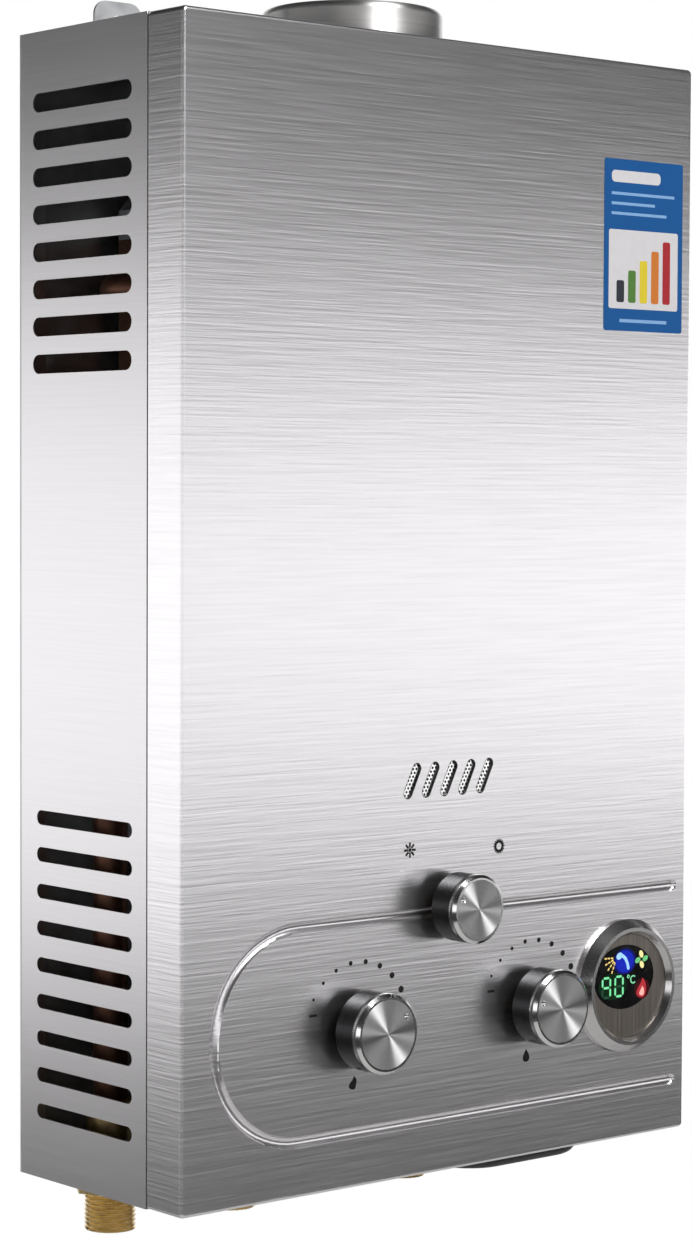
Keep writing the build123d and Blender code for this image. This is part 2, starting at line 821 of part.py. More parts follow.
# Pipe fittings and their lock nuts
def fitting(x, top):
    """A male connection with a shoulder that seats on the inside of the bottom panel."""
    section = Plane(origin=(x, fitting_y, 0), x_dir=(1, 0, 0), z_dir=(0, -1, 0))
    with BuildPart() as stub:
        with BuildSketch(section):
            with BuildLine():
                Polyline(
                    (bore_radius, neck_bottom - thread_length),
                    (thread_radius, neck_bottom - thread_length),
                    (thread_radius, neck_bottom),
                    (neck_radius, neck_bottom),
                    (neck_radius, -inner_half_height),
                    (shoulder_radius, -inner_half_height),
                    (shoulder_radius, -inner_half_height + shoulder_thickness),
                    (neck_radius, -inner_half_height + shoulder_thickness),
                    (neck_radius, top),
                    (tube_radius - tube_wall, top),
                    (tube_radius - tube_wall, -inner_half_height + shoulder_thickness),
                    (bore_radius, -inner_half_height),
                    close=True,
                )
            make_face()
        revolve(axis=Axis((x, fitting_y, 0), (0, 0, 1)))
    return stub


save(fitting(hot_outlet_x, hot_fitting_top), "hot_outlet")
save(fitting(gas_knob_x, valve_bottom), "gas_inlet")
save(fitting(water_knob_x, valve_bottom), "cold_inlet")

with BuildPart() as pipe_lock_nuts:
    for pipe_x in (hot_outlet_x, gas_knob_x, water_knob_x):
        with BuildSketch(Plane.XY.offset(-half_height)):
            with Locations((pipe_x, fitting_y)):
                RegularPolygon(nut_across_flats / 2, 6, major_radius=False)
                Circle(neck_radius + nut_clearance, mode=Mode.SUBTRACT)
        extrude(amount=-nut_thickness)
save(pipe_lock_nuts, "pipe_lock_nuts")

# Burner tray with the sight opening behind the flame window
with BuildPart() as burner_tray:
    with BuildSketch(Plane.XY.offset(tray_bottom)):
        with Locations((0, chamber_y)):
            Rectangle(chamber_width, chamber_depth)
            Rectangle(chamber_width - 2 * sheet, chamber_depth - 2 * sheet, mode=Mode.SUBTRACT)
    extrude(amount=tray_height)
    with BuildSketch(Plane.XY.offset(tray_bottom)):
        with Locations((0, chamber_y)):
            Rectangle(chamber_width - 2 * sheet, chamber_depth - 2 * sheet)
            Rectangle(chamber_width, chamber_depth - 2 * sheet - 2 * tray_flange, mode=Mode.SUBTRACT)
    extrude(amount=sheet)
    with BuildSketch(Plane.XZ.offset(-chamber_y + chamber_depth / 2)):
        with Locations((window_x, window_z)):
            Rectangle(sight_width, sight_height)
    extrude(amount=overrun, both=True, mode=Mode.SUBTRACT)
save(burner_tray, "burner_tray")

# Burner blades with flame ports on their crests and a gas inlet underneath
blade_length = chamber_depth - 2 * sheet - 2 * blade_clearance
first_blade_x = -blade_pitch * (blade_count - 1) / 2
with BuildPart() as burner_blades:
    with BuildSketch(Plane.XZ.offset(-chamber_y)):
        with GridLocations(blade_pitch, blade_height, blade_count, 1):
            Polygon(
                (-blade_foot_width / 2, blade_bottom),
                (blade_foot_width / 2, blade_bottom),
                (blade_foot_width / 2, blade_bottom + blade_height / 4),
                (blade_width / 2, blade_bottom + blade_height / 2),
                (blade_width / 2, blade_bottom + 3 * blade_height / 4),
                (blade_foot_width / 2, blade_top),
                (-blade_foot_width / 2, blade_top),
                (-blade_width / 2, blade_bottom + 3 * blade_height / 4),
                (-blade_width / 2, blade_bottom + blade_height / 2),
                (-blade_foot_width / 2, blade_bottom + blade_height / 4),
                align=None,
            )
    extrude(amount=blade_length / 2, both=True)
    port_pitch = blade_length / (blade_port_count + 1)
    with BuildSketch(Plane.XY.offset(blade_top)):
        with Locations((0, chamber_y)):
            with GridLocations(chamber_width, port_pitch, 1, blade_port_count):
                Rectangle(chamber_width, blade_port_width)
    extrude(amount=-blade_port_depth, mode=Mode.SUBTRACT)
    with BuildSketch(Plane.XY.offset(blade_bottom)):
        with Locations((0, manifold_y)):
            with GridLocations(blade_pitch, blade_height, blade_count, 1):
                Circle(blade_inlet_radius)
    extrude(amount=blade_inlet_depth, mode=Mode.SUBTRACT)
save(burner_blades, "burner_blades")

# Gas manifold with the season cock's boss, nozzles and the riser from the gas valve
manifold_length = blade_pitch * (blade_count - 1) + 2 * manifold_overhang
with BuildPart() as gas_manifold:
    with BuildSketch(Plane.YZ):
        with Locations((manifold_y, season_z)):
            RectangleRounded(manifold_depth, manifold_height, valve_edge_radius)
    extrude(amount=manifold_length / 2, both=True)
    with BuildSketch(Plane.XZ.offset(-manifold_y)):
        with Locations((season_knob_x, season_z)):
            Circle(season_boss_radius)
    extrude(amount=manifold_y - boss_face_y)
    with BuildSketch(Plane.XZ.offset(-boss_face_y)):
        with Locations((season_knob_x, season_z)):
            Circle(spindle_radius + running_clearance)
    extrude(amount=-boss_depth, mode=Mode.SUBTRACT)
save(gas_manifold, "gas_manifold")

with BuildPart() as gas_nozzles:
    for blade in range(blade_count):
        nozzle_place = (first_blade_x + blade * blade_pitch, manifold_y, manifold_top)
        with Locations(nozzle_place):
            Cone(
                nozzle_base_radius,
                nozzle_tip_radius,
                nozzle_height,
                align=(Align.CENTER, Align.CENTER, Align.MIN),
            )
save(gas_nozzles, "gas_nozzles")

with BuildPart() as gas_riser:
    with BuildSketch(Plane.XY.offset(valve_top)):
        with Locations((gas_knob_x, manifold_y)):
            Circle(gas_riser_radius)
            Circle(gas_riser_radius - tube_wall, mode=Mode.SUBTRACT)
    extrude(amount=manifold_top - manifold_height - valve_top)
save(gas_riser, "gas_riser")


# Valve bodies
def valve_body(x, boss_radius, rod_side, rod_bore_depth):
    """A cast valve block with a front boss for its spindle and a side bore for the link rod."""
    with BuildPart() as body:
        with BuildSketch(Plane.XY.offset(valve_bottom)):
            with Locations((x, valve_y)):
                RectangleRounded(valve_width, valve_front_depth, valve_edge_radius)
        extrude(amount=valve_height)
        with BuildSketch(Plane.XZ.offset(-valve_y)):
            with Locations((x, regulator_z)):
                Circle(boss_radius)
        extrude(amount=valve_y - boss_face_y)
        with BuildSketch(Plane.XZ.offset(-boss_face_y)):
            with Locations((x, regulator_z)):
                Circle(spindle_radius + running_clearance)
        extrude(amount=-boss_depth, mode=Mode.SUBTRACT)
        with BuildSketch(Plane.YZ.offset(x + rod_side * valve_width / 2)):
            with Locations((valve_y, regulator_z)):
                Circle(rod_radius + running_clearance)
        extrude(amount=-rod_side * rod_bore_depth, mode=Mode.SUBTRACT)
    return body


valve_front_depth = valve_back_y - valve_front_y
gas_rod_bore = rod_engagement + rod_travel + rod_end_gap
water_rod_bore = rod_engagement + rod_end_gap
save(valve_body(gas_knob_x, gas_boss_radius, 1, gas_rod_bore), "gas_valve")
save(valve_body(water_knob_x, water_boss_radius, -1, water_rod_bore), "water_valve")

with BuildPart() as gas_solenoid:
    with BuildSketch(Plane.YZ.offset(solenoid_x)):
        with Locations((valve_y, regulator_z)):
            Circle(solenoid_radius)
    extrude(amount=-solenoid_length)
    with BuildSketch(Plane.YZ.offset(solenoid_x - solenoid_length)):
        with Locations((valve_y, regulator_z)):
            Circle(solenoid_cap_radius)
    extrude(amount=-solenoid_cap_length)
save(gas_solenoid, "gas_solenoid")

with BuildPart() as diaphragm_cover:
    diaphragm_x = water_knob_x + valve_width / 2
    with BuildSketch(Plane.YZ.offset(diaphragm_x)):
        with Locations((valve_y, regulator_z)):
            Circle(diaphragm_radius)
    extrude(amount=diaphragm_flange)
    with BuildSketch(Plane.YZ.offset(diaphragm_x + diaphragm_flange)):
        with Locations((valve_y, regulator_z)):
            Circle(diaphragm_dome_radius)
    extrude(amount=diaphragm_dome_height)
    fillet(diaphragm_cover.edges().group_by(Axis.X)[-1], radius=valve_edge_radius)
save(diaphragm_cover, "diaphragm_cover")

# Bridge between the valves, its link rod and the microswitch
with BuildPart() as valve_bridge:
    with BuildSketch(Plane.YZ.offset(bridge_left)):
        with Locations((valve_y, regulator_z)):
            RectangleRounded(bridge_size, bridge_size, bridge_edge_radius)
            Circle(bridge_bore_radius, mode=Mode.SUBTRACT)
    extrude(amount=bridge_right - bridge_left)
    with BuildSketch(Plane.XY.offset(regulator_z)):
        with Locations(((bridge_left + bridge_right) / 2, valve_y)):
            SlotOverall(bridge_window_length, bridge_window_width)
    extrude(amount=bridge_size, mode=Mode.SUBTRACT)
save(valve_bridge, "valve_bridge")

with BuildPart() as link_rod:
    with BuildSketch(Plane.YZ.offset(bridge_left - rod_engagement)):
        with Locations((valve_y, regulator_z)):
            Circle(rod_radius)
    extrude(amount=bridge_right - bridge_left + 2 * rod_engagement)
    with BuildSketch(Plane.YZ.offset((bridge_left + bridge_right - rod_collar_length) / 2)):
        with Locations((valve_y, regulator_z)):
            Circle(rod_collar_radius)
    extrude(amount=rod_collar_length)
save(link_rod, "link_rod")

with BuildPart() as microswitch:
    switch_x = (bridge_left + bridge_right) / 2
    switch_z = regulator_z + bridge_size / 2
    with BuildSketch(Plane.XY.offset(switch_z)):
        with Locations((switch_x, valve_y)):
            Rectangle(switch_length, switch_width)
    extrude(amount=switch_height)
    with BuildSketch(Plane.XY.offset(switch_z)):
        with Locations((switch_x, valve_y)):
            Circle(switch_plunger_radius)
    extrude(amount=-switch_plunger_length)
save(microswitch, "microswitch")


# Hat-section brackets on the back plate
def hat_section(depth):
    """The outline of a folded hat strip: flanges on the back plate, crown towards the front."""
    half = hat_crown / 2
    Polygon(
        (-half - hat_flange, 0),
        (-half + sheet, 0),
        (-half + sheet, depth - sheet),
        (half - sheet, depth - sheet),
        (half - sheet, 0),
        (half + hat_flange, 0),
        (half + hat_flange, sheet),
        (half, sheet),
        (half, depth),
        (-half, depth),
        (-half, sheet),
        (-half - hat_flange, sheet),
        align=None,
    )


with BuildPart() as chamber_rails:
    rail_top = chamber_top - rail_end_margin
    rail_bottom = tray_bottom + rail_end_margin
    for side in (-1, 1):
        rail_origin = (side * rail_spacing / 2, -sheet, rail_top)
        with BuildSketch(Plane(origin=rail_origin, x_dir=(1, 0, 0), z_dir=(0, 0, -1))):
            hat_section(chamber_wall_gap)
        extrude(amount=rail_top - rail_bottom)
save(chamber_rails, "chamber_rails")

with BuildPart() as valve_bracket:
    bracket_left = gas_knob_x - valve_width / 2 + valve_bracket_margin
    bracket_right = water_knob_x + valve_width / 2 - valve_bracket_margin
    with BuildSketch(Plane(origin=(bracket_left, -sheet, regulator_z), x_dir=(0, 0, 1), z_dir=(1, 0, 0))):
        hat_section(valve_wall_gap)
    extrude(amount=bracket_right - bracket_left)
save(valve_bracket, "valve_bracket")

# Ignition: pulse box, electrodes in their bracket and the overheat thermostat
with BuildPart() as igniter_box:
    igniter_x = (bridge_left + bridge_right) / 2
    igniter_bottom = -inner_half_height + igniter_rise
    valve_bracket_bottom = regulator_z - hat_crown / 2 - hat_flange
    with BuildSketch(Plane.XY.offset(igniter_bottom)):
        with Locations((igniter_x, -sheet - igniter_depth / 2)):
            Rectangle(igniter_width, igniter_depth)
    extrude(amount=valve_bracket_bottom - igniter_bracket_gap - igniter_bottom)
    fillet(igniter_box.faces().sort_by(Axis.Y)[0].edges(), radius=igniter_edge_radius)
save(igniter_box, "igniter_box")

tray_front_y = chamber_y - chamber_depth / 2
electrode_y = tray_front_y - electrode_setback
electrode_top = window_z - sight_height / 4
with BuildPart() as electrodes:
    for side in (-1, 1):
        electrode_x = window_x + side * electrode_spacing / 2
        with BuildSketch(Plane.XY.offset(electrode_top)):
            with Locations((electrode_x, electrode_y)):
                Circle(electrode_radius)
        extrude(amount=-electrode_length)
        with BuildLine() as wire_path:
            FilletPolyline(
                (electrode_x, electrode_y, electrode_top),
                (electrode_x, electrode_y, electrode_top + electrode_wire_rise),
                (electrode_x, electrode_y + electrode_wire_reach, electrode_top + electrode_wire_rise),
                radius=electrode_wire_bend,
            )
        with BuildSketch(Plane.XY.offset(electrode_top)):
            with Locations((electrode_x, electrode_y)):
                Circle(electrode_wire_radius)
        sweep(path=wire_path.wires()[0])
save(electrodes, "electrodes")

with BuildPart() as electrode_bracket:
    bracket_depth = electrode_setback + electrode_radius + sheet
    with BuildSketch(Plane.XY.offset(tray_bottom + electrode_bracket_rise)):
        with Locations((window_x, tray_front_y - bracket_depth / 2)):
            Rectangle(electrode_bracket_width, bracket_depth)
        with Locations((window_x, electrode_y)):
            with GridLocations(electrode_spacing, electrode_setback, 2, 1):
                Circle(electrode_radius + running_clearance, mode=Mode.SUBTRACT)
    extrude(amount=electrode_bracket_height)
save(electrode_bracket, "electrode_bracket")

with BuildPart() as thermostat:
    thermostat_z = (tray_top + chamber_top) / 2
    with BuildSketch(Plane.YZ.offset(-chamber_width / 2)):
        with Locations((chamber_y, thermostat_z)):
            Circle(thermostat_radius)
    extrude(amount=-thermostat_height)
    with BuildSketch(Plane.YZ.offset(-chamber_width / 2 - thermostat_height)):
        with Locations((chamber_y, thermostat_z)):
            Rectangle(thermostat_terminal_width, thermostat_terminal_width)
    extrude(amount=-thermostat_terminal_height)
save(thermostat, "thermostat")

# Battery box: a tub for two D cells, open downwards, with hinge knuckles on its flange
hinge_axis_plane = Plane(origin=(hinge_x, battery_y, hinge_z), x_dir=(1, 0, 0), z_dir=(0, -1, 0))
side_knuckle_y = hinge_middle_length / 2 + hinge_side_gap + hinge_side_length / 2
flange_end_x = battery_x - cell_spacing / 2 - battery_flange_radius
knuckle_block_right = hinge_offset - hinge_web_clearance
with BuildPart() as battery_box:
    with BuildSketch(Plane.XY.offset(battery_flange_bottom)):
        with Locations((battery_x, battery_y)):
            SlotCenterToCenter(cell_spacing, 2 * battery_outer_radius)
    extrude(amount=tub_top + battery_wall - battery_flange_bottom)
    with BuildSketch(Plane.XY.offset(battery_flange_bottom)):
        with Locations((battery_x, battery_y)):
            SlotCenterToCenter(cell_spacing, 2 * battery_flange_radius)
        with Locations((flange_end_x, battery_y)):
            Rectangle(
                hinge_offset + hinge_knuckle_radius,
                hinge_middle_length + 2 * hinge_side_gap + 2 * hinge_side_length,
                align=(Align.MAX, Align.CENTER),
            )
        with Locations((flange_end_x, battery_y)):
            Rectangle(
                battery_flange_radius,
                hinge_middle_length + 2 * hinge_side_gap + 2 * hinge_side_length,
                align=(Align.MIN, Align.CENTER),
            )
    extrude(amount=battery_flange_thickness)
    with BuildSketch(Plane.XY.offset(battery_flange_bottom)):
        with Locations((battery_x, battery_y)):
            SlotCenterToCenter(cell_spacing, 2 * tub_radius)
    extrude(amount=tub_top - battery_flange_bottom, mode=Mode.SUBTRACT)
    for side in (-1, 1):
        with BuildSketch(hinge_axis_plane.offset(side * side_knuckle_y)):
            Circle(hinge_knuckle_radius)
            with Locations((-hinge_knuckle_radius, 0)):
                Rectangle(
                    hinge_knuckle_radius + knuckle_block_right,
                    battery_flange_bottom - hinge_z,
                    align=(Align.MIN, Align.MIN),
                )
            Circle(hinge_pin_radius + hinge_pin_clearance, mode=Mode.SUBTRACT)
        extrude(amount=hinge_side_length / 2, both=True)
save(battery_box, "battery_box")

with BuildPart() as d_cells:
    for side in (-1, 1):
        cell_x = battery_x + side * cell_spacing / 2
        nub_low = side < 0
        body_bottom = cell_bottom + (cell_nub_height if nub_low else 0)
        with BuildSketch(Plane.XY.offset(body_bottom)):
            with Locations((cell_x, battery_y)):
                Circle(cell_radius)
        extrude(amount=cell_length - cell_nub_height)
        with BuildSketch(Plane.XY.offset(cell_bottom)):
            with Locations((cell_x, battery_y)):
                Circle(cell_nub_radius)
        extrude(amount=cell_length)
save(d_cells, "d_cells")

with BuildPart() as battery_contacts:
    with BuildSketch(Plane.XY.offset(tub_top)):
        with Locations((battery_x, battery_y)):
            with GridLocations(cell_spacing, cell_spacing, 2, 1):
                Circle(contact_radius)
    extrude(amount=-contact_thickness)
save(battery_contacts, "battery_contacts")

# Battery cap, hinged at its left end, with the strip that joins the two cells
cap_floor = battery_cap_bottom + battery_cap_wall
strip_top = cell_bottom - contact_gap
with BuildPart() as battery_cap:
    with BuildSketch(Plane.XY.offset(battery_cap_bottom)):
        with Locations((battery_x, battery_y)):
            SlotCenterToCenter(cell_spacing, 2 * battery_flange_radius)
    extrude(amount=battery_cap_height)
    fillet(battery_cap.faces().sort_by(Axis.Z)[0].edges(), radius=battery_cap_edge_radius)
    with BuildSketch(hinge_axis_plane):
        Circle(hinge_knuckle_radius)
        Rectangle(
            hinge_offset + battery_cap_edge_radius,
            hinge_knuckle_radius,
            align=(Align.MIN, Align.MAX),
        )
    extrude(amount=hinge_middle_length / 2, both=True)
    with BuildSketch(Plane.XY.offset(cap_floor)):
        with Locations((battery_x, battery_y)):
            SlotCenterToCenter(cell_spacing, 2 * (battery_flange_radius - battery_cap_wall))
    extrude(amount=battery_cap_height, mode=Mode.SUBTRACT)
    with BuildSketch(Plane.XY.offset(cap_floor)):
        with Locations((battery_x, battery_y)):
            with GridLocations(cell_spacing, strip_width, 2, 1):
                Rectangle(strip_width, strip_width)
    extrude(amount=strip_top - strip_thickness - cap_floor)
    with BuildSketch(hinge_axis_plane):
        Circle(hinge_pin_radius + running_clearance)
    extrude(amount=hinge_middle_length, both=True, mode=Mode.SUBTRACT)
save(battery_cap, "battery_cap")

with BuildPart() as cap_contact_strip:
    with BuildSketch(Plane.XY.offset(strip_top)):
        with Locations((battery_x, battery_y)):
            Rectangle(cell_spacing + strip_width, strip_width)
    extrude(amount=-strip_thickness)
save(cap_contact_strip, "cap_contact_strip")

with BuildPart() as cap_hinge_pin:
    with BuildSketch(hinge_axis_plane):
        Circle(hinge_pin_radius)
    extrude(amount=side_knuckle_y + hinge_side_length / 2, both=True)
save(cap_hinge_pin, "cap_hinge_pin")
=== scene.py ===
"""Looks of a wall-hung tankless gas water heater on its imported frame, in metres."""
import json
from math import cos, pi, radians, sin, sqrt, tau

import bmesh
import bpy
from mathutils import Matrix, Vector


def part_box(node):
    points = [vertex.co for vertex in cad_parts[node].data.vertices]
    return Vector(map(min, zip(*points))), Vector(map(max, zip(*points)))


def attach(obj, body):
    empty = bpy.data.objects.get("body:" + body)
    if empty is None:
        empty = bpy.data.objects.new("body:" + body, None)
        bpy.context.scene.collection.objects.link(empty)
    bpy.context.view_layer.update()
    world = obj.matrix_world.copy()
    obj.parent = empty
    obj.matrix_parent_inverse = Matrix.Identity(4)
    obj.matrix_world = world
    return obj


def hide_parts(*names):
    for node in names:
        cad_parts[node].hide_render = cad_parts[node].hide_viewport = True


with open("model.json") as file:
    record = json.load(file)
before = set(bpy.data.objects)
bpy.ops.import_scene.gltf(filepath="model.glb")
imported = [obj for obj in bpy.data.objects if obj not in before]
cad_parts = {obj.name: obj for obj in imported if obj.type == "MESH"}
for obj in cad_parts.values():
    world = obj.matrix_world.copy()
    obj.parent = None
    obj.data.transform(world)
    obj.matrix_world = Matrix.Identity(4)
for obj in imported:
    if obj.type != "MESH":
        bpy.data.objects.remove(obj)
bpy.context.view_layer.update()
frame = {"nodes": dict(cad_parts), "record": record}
mm = 0.001
crease_angle = 35.0
weld_distance = 0.001 * mm

# Range of the noise that colour and gloss follow, and heights of the surface textures
noise_low = 0.3
noise_high = 0.7
polish_lift = 0.001 * mm
metal_lift = 0.01 * mm
paper_lift = 0.01 * mm
side_brush_lift = 0.01 * mm
lens_lift = 0.02 * mm
moulded_lift = 0.03 * mm
brush_lift = 0.043 * mm
cast_lift = 0.05 * mm

# Brush lines as counts per metre along X, Y and Z
front_brush = (24.0, 24.0, 950.0)
flat_brush = (24.0, 950.0, 24.0)
side_brush = (14.0, 14.0, 800.0)
lens_brush = (900.0, 900.0, 12.0)
knob_brush = (30.0, 900.0, 30.0)

# Camera at the photograph's view
camera_place = (-0.8478, -1.0435, 0.0497)
camera_lens = 88.86
camera_yaw = 40.221
camera_pitch = 2.626
camera_roll = 0.2464

# Studio
floor_depth = 0.7
floor_radius = 1.0
backdrop_distance = 4.0
backdrop_size = 5.0
ring_radius = 1.9
ring_height = 0.54
ring_swell = 0.12
ring_drop = 0.065
ring_strength = 1.43
world_strength = 0.03
circle_steps = 96
key_place = (0.2, -1.2, 1.2)
key_size = (0.8, 0.6)
key_power = 15.0
strip_place = (0.0, -1.5, 0.95)
strip_size = (0.4, 0.5)
strip_power = 8.0

# Knobs, with the angles of their markers at rest
knob_pointers = {"gas": 34.0, "water": 162.0, "season": 152.0}
knob_back_bevel = 0.5 * mm
knob_wall = 1.8 * mm
knob_roof = 3.0 * mm
knob_hub_radius = 6.0 * mm
knob_bore_radius = 3.05 * mm
knob_seat_depth = 1.0 * mm
knob_rim = 2.0 * mm
knob_bevel = 1.2 * mm
knurl_start = 3.6 * mm
knurl_end = 2.2 * mm
knurl_groove = 0.25 * mm
knurl_depth = 0.2 * mm
knurl_teeth = 120
dimple_share = 0.71
dimple_radius = 1.4 * mm
dimple_depth = 0.6 * mm
cap_rings = 56
cap_segments = 180

# Printed marks
print_lift = 0.05 * mm
dial_radius = 26.6 * mm
dial_dots = 8
dial_start = 149.0
dial_end = 30.0
dot_small = 0.6 * mm
dot_large = 1.4 * mm
mark_reach = 23.0 * mm
mark_rise = 7.4 * mm
mark_arm = 2.0 * mm
mark_pen = 1.0 * mm
sign_drop = 21.6 * mm
sign_width = 4.2 * mm
sign_height = 5.6 * mm
gas_sign_shift = 2.0 * mm
water_sign_shift = 2.7 * mm
flame_lean = 0.35
season_mark_radius = 3.1 * mm
snow_place = (-21.1 * mm, 23.9 * mm)
sun_place = (28.0 * mm, 22.0 * mm)

# Flame window
window_slots = 5
window_pitch = 9.9 * mm
window_length = 15.6 * mm
window_width = 4.8 * mm
window_lean = 64.0
# Black rims in the window slots are painted shade of the slot walls
shade_rim_width = 0.35 * mm
shade_rim_setback = 0.1 * mm
hole_pitch = 1.75 * mm
hole_radius = 0.56 * mm
hole_sides = 12

# Display, its window's middle from the lens's
display_place = (-3.2 * mm, 4.1 * mm)
display_lift = 0.06 * mm
display_layer = 0.03 * mm

# Marks of the display in mm from its window's middle, each written as the function of its shape takes it
window_ellipse = (0.0, 0.0, 18.0, 13.8)
figures_halo = (-6.8, -3.6, 8.6, 5.8)
water_halo = (0.4, 6.6, 6.8, 5.6)
water_ellipse = (0.4, 6.6, 5.4, 4.8)
flame_halo = (11.0, -6.2, 4.6, 4.4)
outer_flame = (11.0, -5.6, 6.4, 8.6, 0.25)
inner_flame = (11.0, -7.0, 3.2, 4.2, 0.2)
tens_place = (-10.6, -3.8)
units_place = (-3.0, -3.8)
segment_reach = 2.3
segment_rise = 2.1
segment_half_length = 1.8
segment_half_width = 0.5
degree_ring = (2.6, -0.1, 0.35, 0.8)
degree_letter = (5.6, -1.6, 1.25, 1.85, 45, 315)
hose_path = ((-2.8, 9.6), (-1.0, 9.2), (0.8, 7.8), (2.0, 5.6), (2.5, 3.6))
hose_width = 1.5
hose_head = (-2.9, 9.2, 1.9, 1.4, 25)
spray_middle = (-4.7, 8.6)
spray_rows = 3
spray_columns = 4
spray_first_angle = 178
spray_angle_step = 23
spray_start = 2.0
spray_pitch = 1.9
spray_length = 1.3
spray_width = 0.65
fan_middle = (10.6, 6.6)
petal_reach = 2.3
petal_half_length = 1.7
petal_half_width = 1.15
petal_turn = 20

# Pipe connections
neck_radius = 9.9 * mm
fitting_bore_radius = 7.2 * mm
tail_bore_radius = 6.0 * mm
shoulder_gap = 1.0 * mm
shoulder_height = 3.0 * mm
thread_radius = 10.48 * mm
thread_groove = 1.16 * mm
thread_pitch = 1.814 * mm
thread_length = 15.0 * mm
thread_rows = 72
thread_start_rows = 4
thread_end_rows = 6
thread_least_share = 0.35
fitting_segments = 48

# Cover screws
screw_head = 1.8 * mm
screw_shank = 1.5 * mm
screw_length = 6.0 * mm
screw_segments = 32
screw_dome_shares = ((0.45, 1.0), (0.8, 0.78), (1.0, 0.3))
recess_arm_share = 0.55
recess_pen_share = 0.1
recess_floor_share = 0.4
recess_roof_share = 1.5

# Label
label_margin = 5.5 * mm
label_width = 47.5 * mm
label_height = 72.5 * mm
label_top_gap = 41.2 * mm
label_corner = 1.2 * mm
label_lift = 0.12 * mm
label_print_lift = 0.156 * mm
label_bar_lift = 0.186 * mm
title_height = 5.0 * mm
title_corner = 2.0 * mm
title_length_share = 0.62
title_shift_share = 0.1
title_drop_share = 0.1
panel_corner = 1.0 * mm
panel_width_share = 0.88
panel_height_share = 0.46
panel_rise_share = 0.13
line_pitch = 4.2 * mm
line_width = 1.2 * mm
line_drop_share = 0.2
line_margin_share = 0.09
line_length_shares = (0.8, 0.55, 0.7)
foot_width = 1.4 * mm
foot_reach_share = 0.3
foot_rise_share = 0.06
label_bar_colours = ("2b2f38", "4d7a34", "d8c32f", "c8742c", "a3232c")
label_bar_base_share = 0.42
label_bar_width_share = 0.66
label_bar_least_share = 0.28
label_bar_step_share = 0.13


def box_centre(node):
    """The middle of a CAD node's box."""
    low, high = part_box(node)
    return (low + high) / 2


face_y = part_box("front_cover")[0].y
face_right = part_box("front_cover")[1].x
face_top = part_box("front_cover")[1].z


# Node helpers
def linear(code):
    """A linear colour from a screen colour such as 3a6ea5."""
    channels = [int(code[i:i + 2], 16) / 255 for i in (0, 2, 4)]
    return tuple(c / 12.92 if c < 0.04045 else ((c + 0.055) / 1.055) ** 2.4 for c in channels)


def new_material(name, colour, **constants):
    """A material whose constant values are set on the shader's own sockets."""
    material = bpy.data.materials.new(name)
    material.use_nodes = True
    shader = material.node_tree.nodes["Principled BSDF"]
    shader.inputs["Base Color"].default_value = (*colour, 1)
    for key, value in constants.items():
        shader.inputs[key.replace("_", " ").title().replace("Ior", "IOR")].default_value = value
    return material


def shader_of(material):
    """The surface shader of a material."""
    return material.node_tree.nodes["Principled BSDF"]


def add_node(material, kind, settings=None, **values):
    """A node with its settings and the default values of its inputs."""
    node = material.node_tree.nodes.new(kind)
    for key, value in (settings or {}).items():
        setattr(node, key, value)
    for key, value in values.items():
        node.inputs[key.replace("_", " ")].default_value = value
    return node


def join(material, source, output, target, socket):
    """A link from one node's output to another's input."""
    material.node_tree.links.new(source.outputs[output], target.inputs[socket])


def grain(material, stretch, detail=2.0, space="Object"):
    """Noise stretched by the given counts per metre along X, Y and Z."""
    coordinates = add_node(material, "ShaderNodeTexCoord")
    mapping = add_node(material, "ShaderNodeMapping", Scale=stretch)
    noise = add_node(material, "ShaderNodeTexNoise", Scale=1.0, Detail=detail)
    join(material, coordinates, space, mapping, "Vector")
    join(material, mapping, "Vector", noise, "Vector")
    return noise


def tint(material, noise, dark, light):
    """The noise runs the base colour from dark to light."""
    ramp = add_node(material, "ShaderNodeValToRGB")
    ramp.color_ramp.elements[0].position = noise_low
    ramp.color_ramp.elements[1].position = noise_high
    ramp.color_ramp.elements[0].color = (*dark, 1)
    ramp.color_ramp.elements[1].color = (*light, 1)
    join(material, noise, "Fac", ramp, "Fac")
    join(material, ramp, "Color", shader_of(material), "Base Color")


def roughen(material, noise, low, high):
    """The noise runs the roughness from low to high."""
    span = add_node(material, "ShaderNodeMapRange", From_Min=noise_low, From_Max=noise_high)
    span.inputs["To Min"].default_value = low
    span.inputs["To Max"].default_value = high
    join(material, noise, "Fac", span, "Value")
    join(material, span, "Result", shader_of(material), "Roughness")


def emboss(material, noise, distance, strength=1.0):
    """The noise raises the surface by the distance."""
    bump = add_node(material, "ShaderNodeBump", Strength=strength, Distance=distance)
    join(material, noise, "Fac", bump, "Height")
    join(material, bump, "Normal", shader_of(material), "Normal")


def shade(colour, factor):
    """A colour made darker or lighter by a factor."""
    return tuple(min(1.0, c * factor) for c in colour)


def even(count):
    """The same count per metre along X, Y and Z."""
    return (count, count, count)


# Materials
def brushed_steel(name, stretch, colour, contrast, lift, gloss=(0.275, 0.29), spread=0.0):
    """Steel with long brush lines and a soft gloss, which can spread further across the lines."""
    material = new_material(name, colour, metallic=1.0, anisotropic=spread, anisotropic_rotation=0.25)
    lines = grain(material, stretch, 2.0)
    tint(material, lines, shade(colour, 1 - contrast), shade(colour, 1 + contrast))
    roughen(material, lines, gloss[0], gloss[1])
    emboss(material, lines, lift)
    return material


def plain_metal(name, colour, low, high, stretch=even(60.0), lift=metal_lift, contrast=0.1):
    """Bare metal with faint blotches in its colour and gloss."""
    material = new_material(name, colour, metallic=1.0)
    blotches = grain(material, stretch, 5.0)
    tint(material, blotches, shade(colour, 1 - contrast), shade(colour, 1 + contrast))
    roughen(material, blotches, low, high)
    emboss(material, blotches, lift)
    return material


